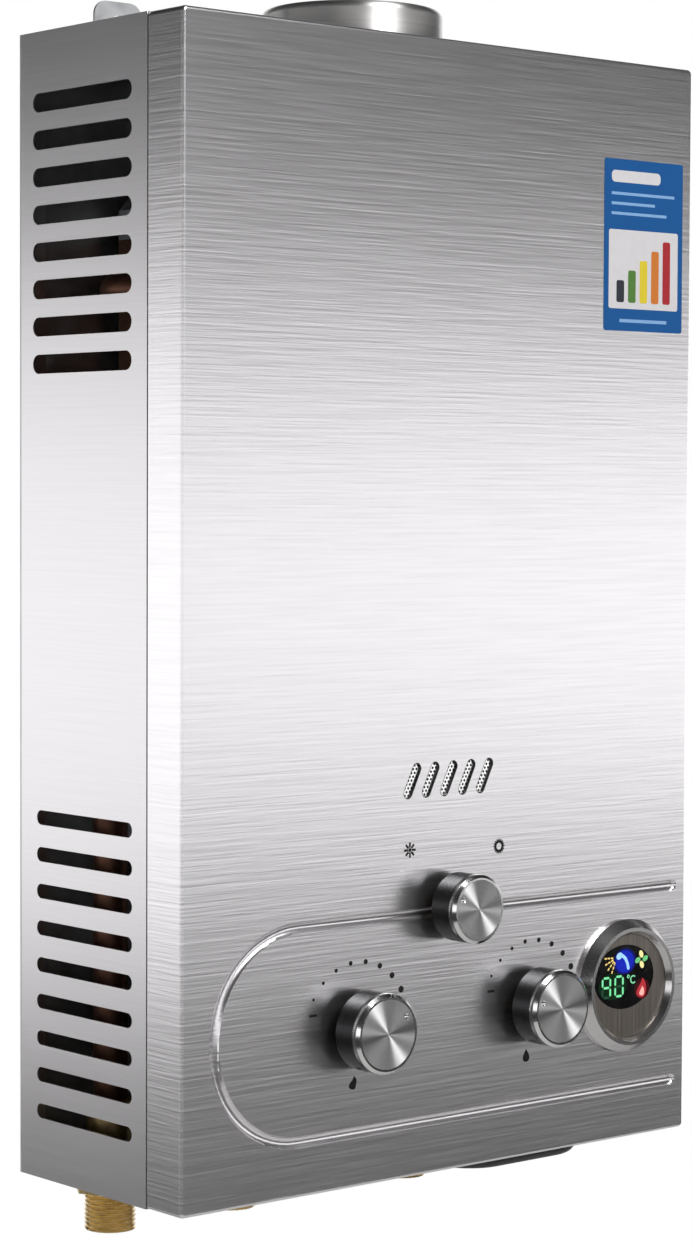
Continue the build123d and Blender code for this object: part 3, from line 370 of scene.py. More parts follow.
def moulded(name, colour, low, high, texture=1400.0, lift=moulded_lift, contrast=0.1, **constants):
    """Moulded plastic, ceramic or board with a fine even texture."""
    material = new_material(name, colour, **constants)
    texture_noise = grain(material, even(texture), 2.0)
    tint(material, texture_noise, shade(colour, 1 - contrast), shade(colour, 1 + contrast))
    roughen(material, texture_noise, low, high)
    emboss(material, texture_noise, lift)
    return material


def spun_metal(name, colour):
    """A face turned on a lathe: rings round the knob's axis, with gloss that fans out from the middle."""
    material = new_material(name, colour, metallic=1.0, anisotropic=1.0, anisotropic_rotation=0.25)
    coordinates = add_node(material, "ShaderNodeTexCoord")
    centred = add_node(material, "ShaderNodeMapping", Location=(-0.5, -0.5, -0.5))
    flat = add_node(material, "ShaderNodeVectorMath", {"operation": "MULTIPLY"})
    flat.inputs[1].default_value = (1, 0, 1)
    length = add_node(material, "ShaderNodeVectorMath", {"operation": "LENGTH"})
    rings = add_node(material, "ShaderNodeTexNoise", {"noise_dimensions": "1D"}, Scale=60.0, Detail=3.0)
    tangent = add_node(material, "ShaderNodeTangent", {"direction_type": "RADIAL", "axis": "Y"})
    join(material, coordinates, "Generated", centred, "Vector")
    join(material, centred, "Vector", flat, 0)
    join(material, flat, "Vector", length, 0)
    join(material, length, "Value", rings, "W")
    join(material, tangent, "Tangent", shader_of(material), "Tangent")
    tint(material, rings, shade(colour, 0.94), shade(colour, 1.05))
    roughen(material, rings, 0.5, 0.54)
    return material


def ink(name, colour):
    """Screen print with a slightly uneven film."""
    return moulded(name, colour, 0.5, 0.6, 300.0, polish_lift, 0.02, specular_ior_level=0.3)


def light_ink(name, colour, strength):
    """A lit mark of the display, a little brighter in the middle of each patch of glow."""
    material = new_material(name, shade(colour, 0.3), roughness=0.5, specular_ior_level=0.1)
    glow = grain(material, even(500.0), 1.0)
    ramp = add_node(material, "ShaderNodeValToRGB")
    ramp.color_ramp.elements[0].color = (*shade(colour, 0.75), 1)
    ramp.color_ramp.elements[1].color = (*colour, 1)
    join(material, glow, "Fac", ramp, "Fac")
    join(material, ramp, "Color", shader_of(material), "Emission Color")
    shader_of(material).inputs["Emission Strength"].default_value = strength
    return material


def smoked_lens():
    """The display's smoked face with faint upright brush lines under its gloss."""
    colour = linear("8a837c")
    material = new_material("smoked_lens", colour, metallic=0.9, anisotropic=0.5)
    lines = grain(material, lens_brush, 3.0)
    tint(material, lines, shade(colour, 0.75), shade(colour, 1.15))
    roughen(material, lines, 0.28, 0.38)
    emboss(material, lines, lens_lift)
    return material


steel_colour = (0.78, 0.763, 0.78)
# The side panels' steel is a darker copy of the front's colour: painted shade on the sides
shaded_side_colour = (0.71, 0.695, 0.71)
polished_colour = (0.72, 0.71, 0.7)
front_steel = brushed_steel("front_steel", front_brush, steel_colour, 0.05, brush_lift)
flat_steel = brushed_steel("flat_steel", flat_brush, steel_colour, 0.05, brush_lift)
side_steel = brushed_steel("side_steel", side_brush, shaded_side_colour, 0.025, side_brush_lift, (0.31, 0.325))
polished_steel = brushed_steel(
    "polished_steel", side_brush, polished_colour, 0.05, polish_lift, (0.36, 0.4), 0.8)
materials = {
    "steel": front_steel,
    "galvanised": plain_metal("galvanised", (0.55, 0.56, 0.57), 0.38, 0.55, even(90.0)),
    "screen": plain_metal("screen", (0.95, 0.95, 0.95), 0.22, 0.28, even(300.0), polish_lift, 0.03),
    "fastener": plain_metal("fastener", (0.62, 0.6, 0.56), 0.25, 0.4, even(400.0)),
    "knob_chrome": plain_metal("knob_chrome", (0.05, 0.05, 0.052), 0.26, 0.34, knob_brush),
    "spun_aluminium": spun_metal("spun_aluminium", (0.6, 0.6, 0.605)),
    "brass": plain_metal("brass", (0.72, 0.55, 0.27), 0.25, 0.42, even(220.0)),
    "bezel_chrome": plain_metal(
        "bezel_chrome", (0.62, 0.61, 0.61), 0.2, 0.22, even(40.0), polish_lift / 2, 0.02),
    "board": moulded("board", linear("1f5a38"), 0.4, 0.5, 700.0),
    "black_plastic": moulded("black_plastic", linear("1c1c1e"), 0.38, 0.5),
    "polished_steel": polished_steel,
    # Copper darkened far below its own colour: painted shade inside the casing, seen through the vents
    "copper": plain_metal("copper", (0.2, 0.1, 0.07), 0.4, 0.55, even(80.0)),
    "burner_steel": plain_metal("burner_steel", (0.42, 0.4, 0.38), 0.35, 0.5, even(150.0)),
    "cast_aluminium": plain_metal("cast_aluminium", (0.6, 0.6, 0.6), 0.45, 0.6, even(700.0), cast_lift),
    "ceramic": moulded("ceramic", linear("efe9dd"), 0.25, 0.35, 500.0),
    "cell_jacket": moulded("cell_jacket", linear("2d3f78"), 0.3, 0.4, 300.0),
    "smoked_lens": smoked_lens(),
}
bright_chrome = plain_metal(
    "bright_chrome", (0.72, 0.72, 0.72), 0.13, 0.17, even(300.0), polish_lift, 0.03)
knurl_chrome = plain_metal("knurl_chrome", (0.3, 0.3, 0.3), 0.2, 0.26, even(300.0), polish_lift, 0.03)
# Black ink for the printed marks, also used as painted shade on the walls of the screen's holes
black_print_and_hole_shade = ink("black_print_and_hole_shade", linear("141414"))


# Mesh helpers
def add_piece(name, points, faces, body, slots, face_slots=None, sheet=False):
    """A closed mesh piece that rides on a body and is sharp at its creases.

    The cells of a sheet are joined, and its rim is closed.
    """
    mesh = bpy.data.meshes.new(name)
    mesh.from_pydata(points, [], faces)
    for material in slots:
        mesh.materials.append(material)
    if face_slots:
        mesh.polygons.foreach_set("material_index", face_slots)
    work = bmesh.new()
    work.from_mesh(mesh)
    if sheet:
        bmesh.ops.remove_doubles(work, verts=work.verts, dist=weld_distance)
        bmesh.ops.bridge_loops(work, edges=[edge for edge in work.edges if edge.is_boundary])
    bmesh.ops.recalc_face_normals(work, faces=work.faces)
    work.to_mesh(mesh)
    work.free()
    mesh.shade_smooth()
    mesh.set_sharp_from_angle(angle=radians(crease_angle))
    piece = bpy.data.objects.new(name, mesh)
    bpy.context.scene.collection.objects.link(piece)
    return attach(piece, body)


def towards_front(centre):
    """Points about a line from the face towards the front: radius, angle and reach out of the face."""
    return lambda radius, angle, reach: (
        centre.x + radius * cos(angle), face_y - reach, centre.z + radius * sin(angle))


def downwards(centre, top):
    """Points about an upright line: radius, angle and depth below the top."""
    return lambda radius, angle, reach: (
        centre.x + radius * cos(angle), centre.y + radius * sin(angle), top - reach)


def lathe(profile, place, segments, wobble=None, closed=True):
    """Points and faces of a profile of (radius, reach) turned about a line, a loop or with capped ends."""
    points = []
    for ring, (radius, reach) in enumerate(profile):
        for step in range(segments):
            angle = tau * step / segments
            shift = wobble(ring, angle, reach) if wobble else 0.0
            points.append(place(radius + shift, angle, reach))
    faces = []
    rings = len(profile)
    if not closed:
        faces = [tuple(range(segments)), tuple(range((rings - 1) * segments, rings * segments))]
    for ring in range(rings if closed else rings - 1):
        following = (ring + 1) % rings
        for step in range(segments):
            beside = (step + 1) % segments
            faces.append((
                ring * segments + step,
                ring * segments + beside,
                following * segments + beside,
                following * segments + step,
            ))
    return points, faces


def plates(outlines, back_y, lift):
    """Thin flat shapes from outlines of (x, z), standing off a face towards the front by the lift."""
    points, faces = [], []
    for outline in outlines:
        start, count = len(points), len(outline)
        points += [(x, back_y - lift, z) for x, z in outline]
        points += [(x, back_y, z) for x, z in outline]
        faces.append(tuple(range(start, start + count)))
        faces.append(tuple(range(start + count, start + 2 * count)))
        for i in range(count):
            j = (i + 1) % count
            faces.append((start + i, start + j, start + count + j, start + count + i))
    return points, faces


# Outlines in the face's plane
def ellipse(x, z, half_width, half_height, turn=0.0, count=28):
    """An ellipse about a point, turned by an angle."""
    tilt = radians(turn)
    outline = []
    for step in range(count):
        u = half_width * cos(tau * step / count)
        v = half_height * sin(tau * step / count)
        outline.append((x + u * cos(tilt) - v * sin(tilt), z + u * sin(tilt) + v * cos(tilt)))
    return outline


def disc(x, z, radius):
    """A round spot."""
    return ellipse(x, z, radius, radius)


def bar(start, end, width):
    """A straight stroke between two points."""
    along = (Vector(end) - Vector(start)).normalized()
    side = Vector((-along.y, along.x)) * width / 2
    a, b = Vector(start), Vector(end)
    return [tuple(a + side), tuple(a - side), tuple(b - side), tuple(b + side)]


def rounded(x, z, width, height, corner, count=6):
    """A rectangle with round corners about its middle."""
    outline = []
    for quarter, (side_x, side_z) in enumerate(((1, 1), (-1, 1), (-1, -1), (1, -1))):
        for step in range(count + 1):
            angle = radians(90 * quarter + 90 * step / count)
            outline.append((
                x + side_x * (width / 2 - corner) + corner * cos(angle),
                z + side_z * (height / 2 - corner) + corner * sin(angle),
            ))
    return outline


def teardrop(x, z, width, height, lean=0.0, count=36):
    """A drop with its tip up, which leans to one side for a flame."""
    swell_share, swell_power = 0.62, 1.4
    outline = []
    for step in range(count):
        t = tau * step / count
        rise = cos(t)
        swell = swell_share * sin(t) * abs(sin(t / 2)) ** swell_power
        outline.append((x + width * (swell + lean * (rise - rise**3)), z + height / 2 * rise))
    return outline


def band(x, z, inner, outer, start, end, count=16):
    """A curved stroke about a point, between two angles."""
    angles = [radians(start + (end - start) * step / count) for step in range(count + 1)]
    outline = [(x + outer * cos(a), z + outer * sin(a)) for a in angles]
    return outline + [(x + inner * cos(a), z + inner * sin(a)) for a in reversed(angles)]


def stroke_ring(x, z, inner, outer):
    """A flat ring in two halves."""
    return [band(x, z, inner, outer, 0, 180), band(x, z, inner, outer, 180, 360)]


# Knobs: a dark skirt with a knurled band and a bright bevel, and a spun face with its marker dimple
def add_knob(name):
    low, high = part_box(f"{name}_knob")
    centre = (low + high) / 2
    radius = (high.x - low.x) / 2
    back = face_y - high.y
    front = face_y - low.y
    roof = front - knob_roof
    seat_radius = radius - knob_rim
    segments = 2 * knurl_teeth
    dark, bright, ribbed = range(3)
    slots = [materials["knob_chrome"], bright_chrome, knurl_chrome]
    # Radius and reach of each row, with the material of the faces up to the next row
    rows = [
        (knob_bore_radius, back, dark),
        (knob_hub_radius, back, dark),
        (knob_hub_radius, roof, dark),
        (radius - knob_wall, roof, dark),
        (radius - knob_wall, back, dark),
        (radius - knob_back_bevel, back, dark),
        (radius, back + knob_back_bevel, dark),
        (radius, front - knurl_start - knurl_groove, dark),
        (radius - knurl_groove, front - knurl_start, ribbed),
        (radius - knurl_groove / 2, front - knurl_start + knurl_groove, ribbed),
        (radius - knurl_groove / 2, front - knurl_end, ribbed),
        (radius - knurl_groove, front - knurl_end + knurl_groove, ribbed),
        (radius - knurl_groove, front - knob_bevel - knurl_groove, bright),
        (radius, front - knob_bevel, bright),
        (radius - knob_bevel, front, bright),
        (seat_radius, front, bright),
        (seat_radius, front - knob_seat_depth, dark),
        (knob_bore_radius, front - knob_seat_depth, dark),
    ]
    toothed_rows = (9, 10)

    def teeth(ring, angle, reach):
        if ring not in toothed_rows:
            return 0.0
        return knurl_depth * cos(knurl_teeth * angle)

    profile = [(row_radius, reach) for row_radius, reach, _ in rows]
    points, faces = lathe(profile, towards_front(centre), segments, teeth)
    face_slots = [rows[i // segments][2] for i in range(len(faces))]
    knob = add_piece(f"{name}_skirt", points, faces, f"{name}_control", slots, face_slots)
    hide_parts(f"{name}_knob")


def add_knob_face(name):
    low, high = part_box(f"{name}_knob_cap")
    centre = (low + high) / 2
    radius = (high.x - low.x) / 2
    front = face_y - low.y
    back = face_y - high.y
    pointer = radians(knob_pointers[name])
    knob_low, knob_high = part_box(f"{name}_knob")
    reach = dimple_share * (knob_high.x - knob_low.x) / 2
    dimple = Vector((reach * cos(pointer), reach * sin(pointer)))
    ball = (dimple_radius**2 + dimple_depth**2) / (2 * dimple_depth)
    rings, segments = cap_rings, cap_segments
    place = towards_front(centre)
    points = [place(0, 0, front)]
    sunk = set()
    for ring in range(1, rings + 1):
        r = radius * ring / rings
        for step in range(segments):
            angle = tau * step / segments
            away = (Vector((r * cos(angle), r * sin(angle))) - dimple).length
            sink = 0.0
            if away < dimple_radius:
                sink = sqrt(ball**2 - away**2) - (ball - dimple_depth)
                sunk.add(len(points))
            points.append(place(r, angle, front - sink))
    faces = [(0, 1 + step, 1 + (step + 1) % segments) for step in range(segments)]
    for ring in range(rings - 1):
        for step in range(segments):
            a = 1 + ring * segments + step
            b = 1 + ring * segments + (step + 1) % segments
            faces.append((a, a + segments, b + segments, b))
    rim = 1 + (rings - 1) * segments
    under = len(points)
    points += [place(radius, tau * step / segments, back) for step in range(segments)]
    for step in range(segments):
        beside = (step + 1) % segments
        faces.append((rim + step, under + step, under + beside, rim + beside))
    faces.append(tuple(range(under, under + segments)))
    slots = [materials["spun_aluminium"], bright_chrome]
    face_slots = [int(sunk.issuperset(face)) for face in faces]
    cap = add_piece(f"{name}_face", points, faces, f"{name}_control", slots, face_slots)
    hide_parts(f"{name}_knob_cap")


for control in knob_pointers:
    add_knob(control)
    add_knob_face(control)


# Printed dial dots and signs
def dial_marks(name):
    """Growing dots over a regulator knob, with a minus and a plus sign at the ends."""
    centre = box_centre(f"{name}_knob")
    outlines = []
    for dot in range(dial_dots):
        part = dot / (dial_dots - 1)
        angle = radians(dial_start + (dial_end - dial_start) * part)
        spot = dot_small + (dot_large - dot_small) * part
        x, z = centre.x + dial_radius * cos(angle), centre.z + dial_radius * sin(angle)
        outlines.append(disc(x, z, spot))
    z = centre.z + mark_rise
    minus_x, plus_x = centre.x - mark_reach, centre.x + mark_reach
    for x in (minus_x, plus_x):
        outlines.append(bar((x - mark_arm, z), (x + mark_arm, z), mark_pen))
    for end in (-1, 1):
        outlines.append(bar((plus_x, z + end * mark_pen / 2), (plus_x, z + end * mark_arm), mark_pen))
    return outlines


def snowflake(x, z, radius):
    """A star of eight blunt arms with a dot in the middle."""
    arms, dot_share, start_share, length_share, width_share = 8, 0.26, 0.34, 0.66, 0.3
    outlines = [disc(x, z, radius * dot_share)]
    for arm in range(arms):
        heading = Vector((cos(tau * arm / arms), sin(tau * arm / arms)))
        start = Vector((x, z)) + heading * radius * start_share
        outlines.append(bar(start, start + heading * radius * length_share, radius * width_share))
    return outlines


def sun(x, z, radius):
    """A bold ring with a crown of short rays."""
    inner_share, outer_share = 0.46, 0.82
    rays, start_share, length_share, width_share = 16, 0.78, 0.22, 0.2
    outlines = stroke_ring(x, z, radius * inner_share, radius * outer_share)
    for ray in range(rays):
        heading = Vector((cos(tau * ray / rays), sin(tau * ray / rays)))
        start = Vector((x, z)) + heading * radius * start_share
        outlines.append(bar(start, start + heading * radius * length_share, radius * width_share))
    return outlines


def add_dial_print():
    gas, water, season = (box_centre(f"{name}_knob") for name in ("gas", "water", "season"))
    marks = dial_marks("gas") + dial_marks("water")
    marks.append(teardrop(gas.x - gas_sign_shift, gas.z - sign_drop, sign_width, sign_height, flame_lean))
    marks.append(teardrop(water.x - water_sign_shift, water.z - sign_drop, sign_width, sign_height))
    marks += snowflake(season.x + snow_place[0], season.z + snow_place[1], season_mark_radius)
    marks += sun(season.x + sun_place[0], season.z + sun_place[1], season_mark_radius)
    dial_print = add_piece("dial_print", *plates(marks, face_y, print_lift), "casing", [black_print_and_hole_shade])


add_dial_print()


# Blue label: a plain sheet with blank lines and a panel of rising bars
def add_label():
    x = face_right - label_margin - label_width / 2
    z = face_top - label_top_gap - label_height / 2
    left, top, bottom = x - label_width / 2, z + label_height / 2, z - label_height / 2
    blue = ink("label_blue", linear("00508f"))
    white = ink("label_white", linear("d0ced0"))
    pale = ink("label_pale", linear("7fa8d4"))
    sheet = rounded(x, z, label_width, label_height, label_corner)
    add_piece("label_sheet", *plates([sheet], face_y, label_lift), "casing", [blue])

    title_x, title_z = x - title_shift_share * label_width, top - title_drop_share * label_height
    title = rounded(title_x, title_z, title_length_share * label_width, title_height, title_corner)
    panel_height = panel_height_share * label_height
    panel_z = bottom + panel_rise_share * label_height + panel_height / 2
    panel = rounded(x, panel_z, panel_width_share * label_width, panel_height, panel_corner)
    add_piece("label_panel", *plates([title, panel], face_y, label_print_lift), "casing", [white])

    lines = []
    line_start = left + line_margin_share * label_width
    for row, share in enumerate(line_length_shares):
        line_z = top - line_drop_share * label_height - row * line_pitch
        lines.append(bar((line_start, line_z), (line_start + share * label_width, line_z), line_width))
    foot_z = bottom + foot_rise_share * label_height
    foot_reach = foot_reach_share * label_width
    lines.append(bar((x - foot_reach, foot_z), (x + foot_reach, foot_z), foot_width))
    add_piece("label_lines", *plates(lines, face_y, label_print_lift), "casing", [pale])

    pitch = panel_width_share * label_width / (len(label_bar_colours) + 1)
    base = panel_z - label_bar_base_share * panel_height
    for number, code in enumerate(label_bar_colours):
        tall = panel_height * (label_bar_least_share + label_bar_step_share * number)
        bar_x = x + pitch * (number - (len(label_bar_colours) - 1) / 2)
        outline = rounded(bar_x, base + tall / 2, label_bar_width_share * pitch, tall, panel_corner)
        colour = ink(f"label_ink_{number + 1}", linear(code))
        add_piece(f"label_bar_{number + 1}", *plates([outline], face_y, label_bar_lift), "casing", [colour])


add_label()


# Display: a dark window with lit marks on the smoked lens
def seven_segments(place, lit_bars):
    """The bars of one seven-segment figure, each with pointed ends."""
    reach, rise = segment_reach, segment_rise
    level = {"a": (0, 2 * rise), "g": (0, 0), "d": (0, -2 * rise)}
    upright = {"f": (-reach, rise), "b": (reach, rise), "e": (-reach, -rise), "c": (reach, -rise)}
    long, wide = segment_half_length, segment_half_width
    tips = [(-long, 0), (-long + wide, wide), (long - wide, wide)]
    tips += [(long, 0), (long - wide, -wide), (-long + wide, -wide)]
    bars = []
    for key in lit_bars:
        x, z = Vector(place) + Vector(level.get(key) or upright[key])
        turned = tips if key in level else [(v, u) for u, v in tips]
        bars.append([(x + u, z + v) for u, v in turned])
    return bars


def hose():
    """A shower head with its curved handle."""
    strokes = [bar(a, b, hose_width) for a, b in zip(hose_path, hose_path[1:])]
    joints = [disc(x, z, hose_width / 2) for x, z in hose_path[1:]]
    return strokes + joints + [ellipse(*hose_head)]


def shower_rays():
    """Rows of short strokes that fan out from a point."""
    rays = []
    for row in range(spray_rows):
        for column in range(spray_columns):
            angle = radians(spray_first_angle + spray_angle_step * column)
            heading = Vector((cos(angle), sin(angle)))
            start = Vector(spray_middle) + heading * (spray_start + spray_pitch * row)
            rays.append(bar(start, start + heading * spray_length, spray_width))
    return rays


def petals(first):
    """Two opposite blades of the fan mark."""
    blades = []
    for angle in (first, first + 180):
        turn = radians(angle)
        x, z = fan_middle[0] + petal_reach * cos(turn), fan_middle[1] + petal_reach * sin(turn)
        blades.append(ellipse(x, z, petal_half_length, petal_half_width, angle + petal_turn))
    return blades


def add_display():
    lens = box_centre("display_lens")
    lens_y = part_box("display_lens")[0].y
    middle = (lens.x + display_place[0], lens.z + display_place[1])

    def on_lens(outlines):
        return [[(middle[0] + x * mm, middle[1] + z * mm) for x, z in outline] for outline in outlines]

    glass = moulded("led_window", linear("08080a"), 0.12, 0.18, 300.0, 2 * polish_lift)
    window = on_lens([ellipse(*window_ellipse, count=64)])
    add_piece("display_window", *plates(window, lens_y, display_lift), "casing", [glass])
    figures = seven_segments(tens_place, "abcfg") + seven_segments(units_place, "abcdef")
    unlit_bars = seven_segments(tens_place, "de") + seven_segments(units_place, "g")
    degree_sign = stroke_ring(*degree_ring) + [band(*degree_letter)]
    glows = {
        "figures_glow": ([ellipse(*figures_halo)], "04210c", 1.0),
        "water_glow": ([ellipse(*water_halo)], "0a1168", 1.0),
        "flame_glow": ([ellipse(*flame_halo)], "3a080c", 1.0),
    }
    lit = {
        "figures_lit": (figures, "7ee6a4", 1.0),
        "figures_dim": (unlit_bars, "24503a", 0.8),
        "degree_sign": (degree_sign, "7fdca4", 1.0),
        "water_tile": ([ellipse(*water_ellipse)], "1426b4", 0.9),
        "shower_rays": (shower_rays(), "f2d27c", 1.0),
        "fan_yellow": (petals(95), "efe6a0", 1.0),
        "fan_green": (petals(5), "6cc47c", 1.0),
        "flame_outer": ([teardrop(*outer_flame)], "b0303a", 1.0),
    }
    bright = {
        "water_hose": (hose(), "a8d4ff", 1.0),
        "flame_inner": ([teardrop(*inner_flame)], "ffb4aa", 1.0),
    }
    for layer, marks_of_layer in enumerate((glows, lit, bright)):
        lift = display_lift + (layer + 1) * display_layer
        for name, (outlines, code, strength) in marks_of_layer.items():
            material = light_ink(name, linear(code), strength)
            add_piece(name, *plates(on_lens(outlines), lens_y, lift), "casing", [material])


add_display()


# Perforated sheet behind the flame window, in cells of six sides that join to one sheet
def add_screen():
    low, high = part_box("window_screen")
    row_pitch = hole_pitch * sqrt(3) / 2
    columns, rows = int((high.x - low.x) / hole_pitch), int((high.z - low.z) / row_pitch)
    points, faces, face_slots = [], [], []
    for row in range(rows):
        for column in range(columns):
            x = low.x + hole_pitch * (column + 0.5 + 0.5 * (row % 2))
            z = low.z + row_pitch * (row + 0.5)
            first = len(points)
            for side in range(hole_sides):
                angle = tau * side / hole_sides
                edge = hole_pitch / 2 / cos((angle + pi / 6) % (pi / 3) - pi / 6)
                rim = ((edge, low.y), (hole_radius, low.y), (hole_radius, high.y), (edge, high.y))
                points += [(x + radius * cos(angle), y, z + radius * sin(angle)) for radius, y in rim]
            for side in range(hole_sides):
                a, b = first + 4 * side, first + 4 * ((side + 1) % hole_sides)
                faces += [(a + i, a + i + 1, b + i + 1, b + i) for i in range(3)]
            # The hole walls take the black material: painted shade inside the holes
            face_slots += [0, 1, 0] * hole_sides
    slots = [materials["screen"], black_print_and_hole_shade]
    screen = add_piece("flame_screen", points, faces, "casing", slots, face_slots, sheet=True)
    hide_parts("window_screen")


add_screen()


# Black rims lining the cover's window slots back to the perforated sheet: painted shade where the slot
# walls shade the sheet
def stadium(x, z, length, width, turn, count=12):
    """A slot outline with round ends about its middle."""
    tilt = radians(turn)
    outline = []
    for end in (1, -1):
        for step in range(count + 1):
            angle = pi * step / count - pi / 2
            u = end * ((length - width) / 2 + width / 2 * cos(angle))
            v = end * width / 2 * sin(angle)
            outline.append((x + u * cos(tilt) - v * sin(tilt), z + u * sin(tilt) + v * cos(tilt)))
    return outline


def add_window_shade_rims():
    middle = box_centre("window_screen")
    front, back = face_y + shade_rim_setback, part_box("window_screen")[0].y
    inner_length, inner_width = window_length - 2 * shade_rim_width, window_width - 2 * shade_rim_width
    points, faces = [], []
    for slot in range(window_slots):
        x = middle.x + window_pitch * (slot - (window_slots - 1) / 2)
        outer = stadium(x, middle.z, window_length, window_width, window_lean)
        inner = stadium(x, middle.z, inner_length, inner_width, window_lean)
        start, count = len(points), len(outer)
        for outline, y in ((outer, front), (inner, front), (inner, back), (outer, back)):
            points += [(u, y, v) for u, v in outline]
        for loop in range(4):
            for i in range(count):
                j = (i + 1) % count
                a, b = start + loop * count, start + (loop + 1) % 4 * count
                faces.append((a + i, a + j, b + j, b + i))
    shade_rims = add_piece("window_shade_rims", points, faces, "casing", [materials["black_plastic"]])


add_window_shade_rims()


# Pipe connections with their pipe threads
def add_fitting(node):
    low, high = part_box(node)
    centre = (low + high) / 2
    bottom_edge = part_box("bottom_panel")[0].z
    top = high.z
    drop = top - low.z
    shoulder = (high.x - low.x) / 2
    shoulder_low = top - bottom_edge - shoulder_gap
    shoulder_high = shoulder_low - shoulder_height
    thread_start = drop - thread_length
    profile = [
        (tail_bore_radius, 0),
        (neck_radius, 0),
        (neck_radius, shoulder_high),
        (shoulder, shoulder_high),
        (shoulder, shoulder_low),
        (neck_radius, shoulder_low),
        (neck_radius, thread_start),
    ]
    first, last = len(profile), len(profile) + thread_rows
    for row in range(thread_rows + 1):
        profile.append((thread_radius, thread_start + thread_length * row / thread_rows))
    profile += [(fitting_bore_radius, drop), (fitting_bore_radius, shoulder_low)]
    profile.append((tail_bore_radius, shoulder_high))

    def thread(ring, angle, reach):
        if not first <= ring <= last:
            return 0.0
        part = ((reach - thread_start) / thread_pitch - angle / tau) % 1.0
        fade = min(1.0, (last - ring) / thread_end_rows, (ring - first) / thread_start_rows)
        depth = thread_groove * (thread_least_share + (1 - thread_least_share) * fade)
        return -depth * abs(2 * part - 1)

    points, faces = lathe(profile, downwards(centre, top), fitting_segments, thread)
    fitting = add_piece(f"{node}_threaded", points, faces, "casing", [materials["brass"]])
    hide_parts(node)


for stub in ("hot_outlet", "gas_inlet", "cold_inlet"):
    add_fitting(stub)


# Cover screws with raised heads and cross recesses
def cut_out(target, points, faces):
    """Takes a closed mesh out of a piece."""
    mesh = bpy.data.meshes.new("cutter")
    mesh.from_pydata(points, [], faces)
    cutter = bpy.data.objects.new("cutter", mesh)
    bpy.context.scene.collection.objects.link(cutter)
    boolean = target.modifiers.new("recess", "BOOLEAN")
    boolean.operation = "DIFFERENCE"
    boolean.object = cutter
    bpy.context.view_layer.update()
    graph = bpy.context.evaluated_depsgraph_get()
    target.data = bpy.data.meshes.new_from_object(target.evaluated_get(graph))
    target.modifiers.remove(boolean)
    bpy.data.objects.remove(cutter)


def cross_prism(axis, arm, half_pen, bottom, top):
    """A cross-shaped prism about an upright axis."""
    corner = [(half_pen, arm), (-half_pen, arm), (-half_pen, half_pen)]
    outline = []
    for _ in range(4):
        outline += corner
        corner = [(-y, x) for x, y in corner]
    count = len(outline)
    points = [(axis.x + x, axis.y + y, z) for z in (bottom, top) for x, y in outline]
    faces = [tuple(reversed(range(count))), tuple(range(count, 2 * count))]
    faces += [(i, (i + 1) % count, count + (i + 1) % count, count + i) for i in range(count)]
    return points, faces


def add_screws():
    low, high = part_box("cover_screws")
    middle = (low + high) / 2
    radius = (high.y - low.y) / 2
    spread = (high.x - low.x) / 2 - radius
    profile = [(across * radius, up * screw_head) for across, up in screw_dome_shares]
    profile += [(radius, 0), (screw_shank, 0), (screw_shank, -screw_length)]
    screws, recesses = ([], []), ([], [])
    for seat, up in ((high.z - screw_head, 1), (low.z + screw_head, -1)):
        for side in (-1, 1):
            axis = Vector((middle.x + side * spread, middle.y, seat))

            def place(ring, angle, reach, axis=axis, up=up):
                return axis.x + ring * cos(angle), axis.y + ring * sin(angle), axis.z + up * reach

            screw = lathe(profile, place, screw_segments, closed=False)
            floor = seat + up * recess_floor_share * screw_head
            roof = seat + up * recess_roof_share * screw_head
            arm, half_pen = recess_arm_share * radius, recess_pen_share * radius
            recess = cross_prism(axis, arm, half_pen, min(floor, roof), max(floor, roof))
            for whole, part in ((screws, screw), (recesses, recess)):
                first = len(whole[0])
                whole[0].extend(part[0])
                whole[1].extend(tuple(first + i for i in face) for face in part[1])
    heads = add_piece("cover_screw_heads", *screws, "casing", [materials["fastener"]])
    cut_out(heads, *recesses)
    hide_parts("cover_screws")


add_screws()


# Finishes of the CAD nodes that stay
def dress_nodes():
    slots = {part["node"]: part["material_slot"] for part in frame["record"]["subparts"]}
    for name, obj in frame["nodes"].items():
        material = materials[slots[name]]
        if name in ("top_panel", "bottom_panel"):
            material = flat_steel
        if name in ("side_panel_left", "side_panel_right"):
            material = side_steel
        obj.data.materials.clear()
        obj.data.materials.append(material)


dress_nodes()


# Camera, studio and light
def add_camera():
    """The camera of the photograph's view, which gives back the direction it looks in."""
    yaw, pitch, roll = radians(camera_yaw), radians(camera_pitch), radians(camera_roll)
    forward = Vector((sin(yaw) * cos(pitch), cos(yaw) * cos(pitch), -sin(pitch)))
    right = Vector((cos(yaw), -sin(yaw), 0))
    up = right.cross(forward)
    image_right = cos(roll) * right + sin(roll) * up
    image_up = cos(roll) * up - sin(roll) * right
    turn = Matrix((image_right, image_up, -forward)).transposed().to_4x4()
    camera = bpy.data.objects.new("camera", bpy.data.cameras.new("camera"))
    camera.data.lens = camera_lens
    camera.matrix_world = Matrix.Translation(camera_place) @ turn
    bpy.context.scene.collection.objects.link(camera)
    bpy.context.scene.camera = camera
    return forward


def add_stage(name, points, faces, material):
    """A piece of the studio."""
    mesh = bpy.data.meshes.new(name)
    mesh.from_pydata(points, [], faces)
    mesh.materials.append(material)
    obj = bpy.data.objects.new(name, mesh)
    bpy.context.scene.collection.objects.link(obj)
    return obj


def glowing(name, colour, strength):
    """A surface that only gives light."""
    material = new_material(name, (0, 0, 0), roughness=1.0)
    shader_of(material).inputs["Emission Color"].default_value = (*colour, 1)
    shader_of(material).inputs["Emission Strength"].default_value = strength
    return material


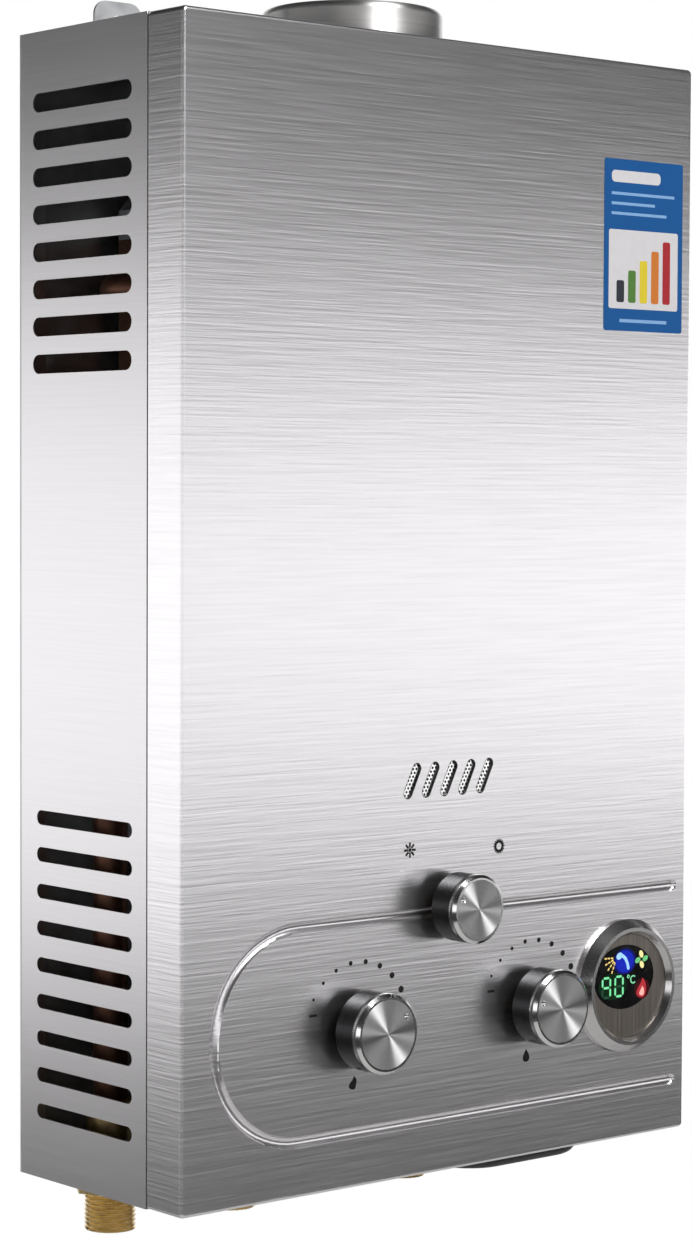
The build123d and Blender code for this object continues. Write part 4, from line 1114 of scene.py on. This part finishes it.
def add_softbox(name, place, size, power):
    """A lamp that faces the object and isn't seen itself."""
    lamp = bpy.data.lights.new(name, "AREA")
    lamp.shape = "RECTANGLE"
    lamp.size, lamp.size_y = size
    lamp.energy = power
    obj = bpy.data.objects.new(name, lamp)
    obj.location = place
    obj.rotation_euler = (-Vector(place)).to_track_quat("-Z", "Y").to_euler()
    obj.visible_camera = False
    bpy.context.scene.collection.objects.link(obj)


def headings():
    """Level directions all round."""
    turns = [tau * step / circle_steps for step in range(circle_steps)]
    return [Vector((cos(turn), sin(turn), 0)) for turn in turns]


def add_floor():
    paper = moulded("floor_paper", linear("e4e3e1"), 0.7, 0.8, 400.0, paper_lift)
    rim = [heading * floor_radius - Vector((0, 0, floor_depth)) for heading in headings()]
    add_stage("floor", rim, [tuple(range(circle_steps))], paper)


def add_backdrop(ahead):
    middle = ahead * backdrop_distance
    across = Vector((ahead.y, -ahead.x, 0)) * backdrop_size / 2
    rise = Vector((0, 0, backdrop_size / 2))
    below, above = middle - rise, middle + rise
    corners = [below - across, below + across, above + across, above - across]
    add_stage("backdrop", corners, [(0, 1, 2, 3)], glowing("backdrop_white", (1, 1, 1), 1.0))


def add_light_ring(ahead):
    """A band of light all round, wider where the side panel mirrors it towards the camera."""
    mirrored = Vector((-ahead.x, ahead.y, 0))
    points, faces = [], []
    for i, heading in enumerate(headings()):
        swell = ring_swell * max(0.0, heading.dot(mirrored))
        for rise in (-ring_height / 2 - swell, ring_height / 2 + swell / 2):
            points.append(heading * ring_radius + Vector((0, 0, rise - ring_drop)))
        j = (i + 1) % circle_steps
        faces.append((2 * i, 2 * j, 2 * j + 1, 2 * i + 1))
    ring = add_stage("light_ring", points, faces, glowing("ring_light", (1, 1, 1), ring_strength))
    ring.visible_camera = False


def add_world():
    world = bpy.data.worlds.new("studio")
    world.use_nodes = True
    background = world.node_tree.nodes["Background"]
    background.inputs["Color"].default_value = (1, 1, 1, 1)
    background.inputs["Strength"].default_value = world_strength
    bpy.context.scene.world = world


camera_heading = add_camera()
level_heading = Vector((camera_heading.x, camera_heading.y, 0)).normalized()
add_floor()
add_backdrop(level_heading)
add_light_ring(level_heading)
add_world()
add_softbox("key_light", key_place, key_size, key_power)
add_softbox("strip_light", strip_place, strip_size, strip_power)
bpy.context.scene.view_settings.view_transform = "Standard"
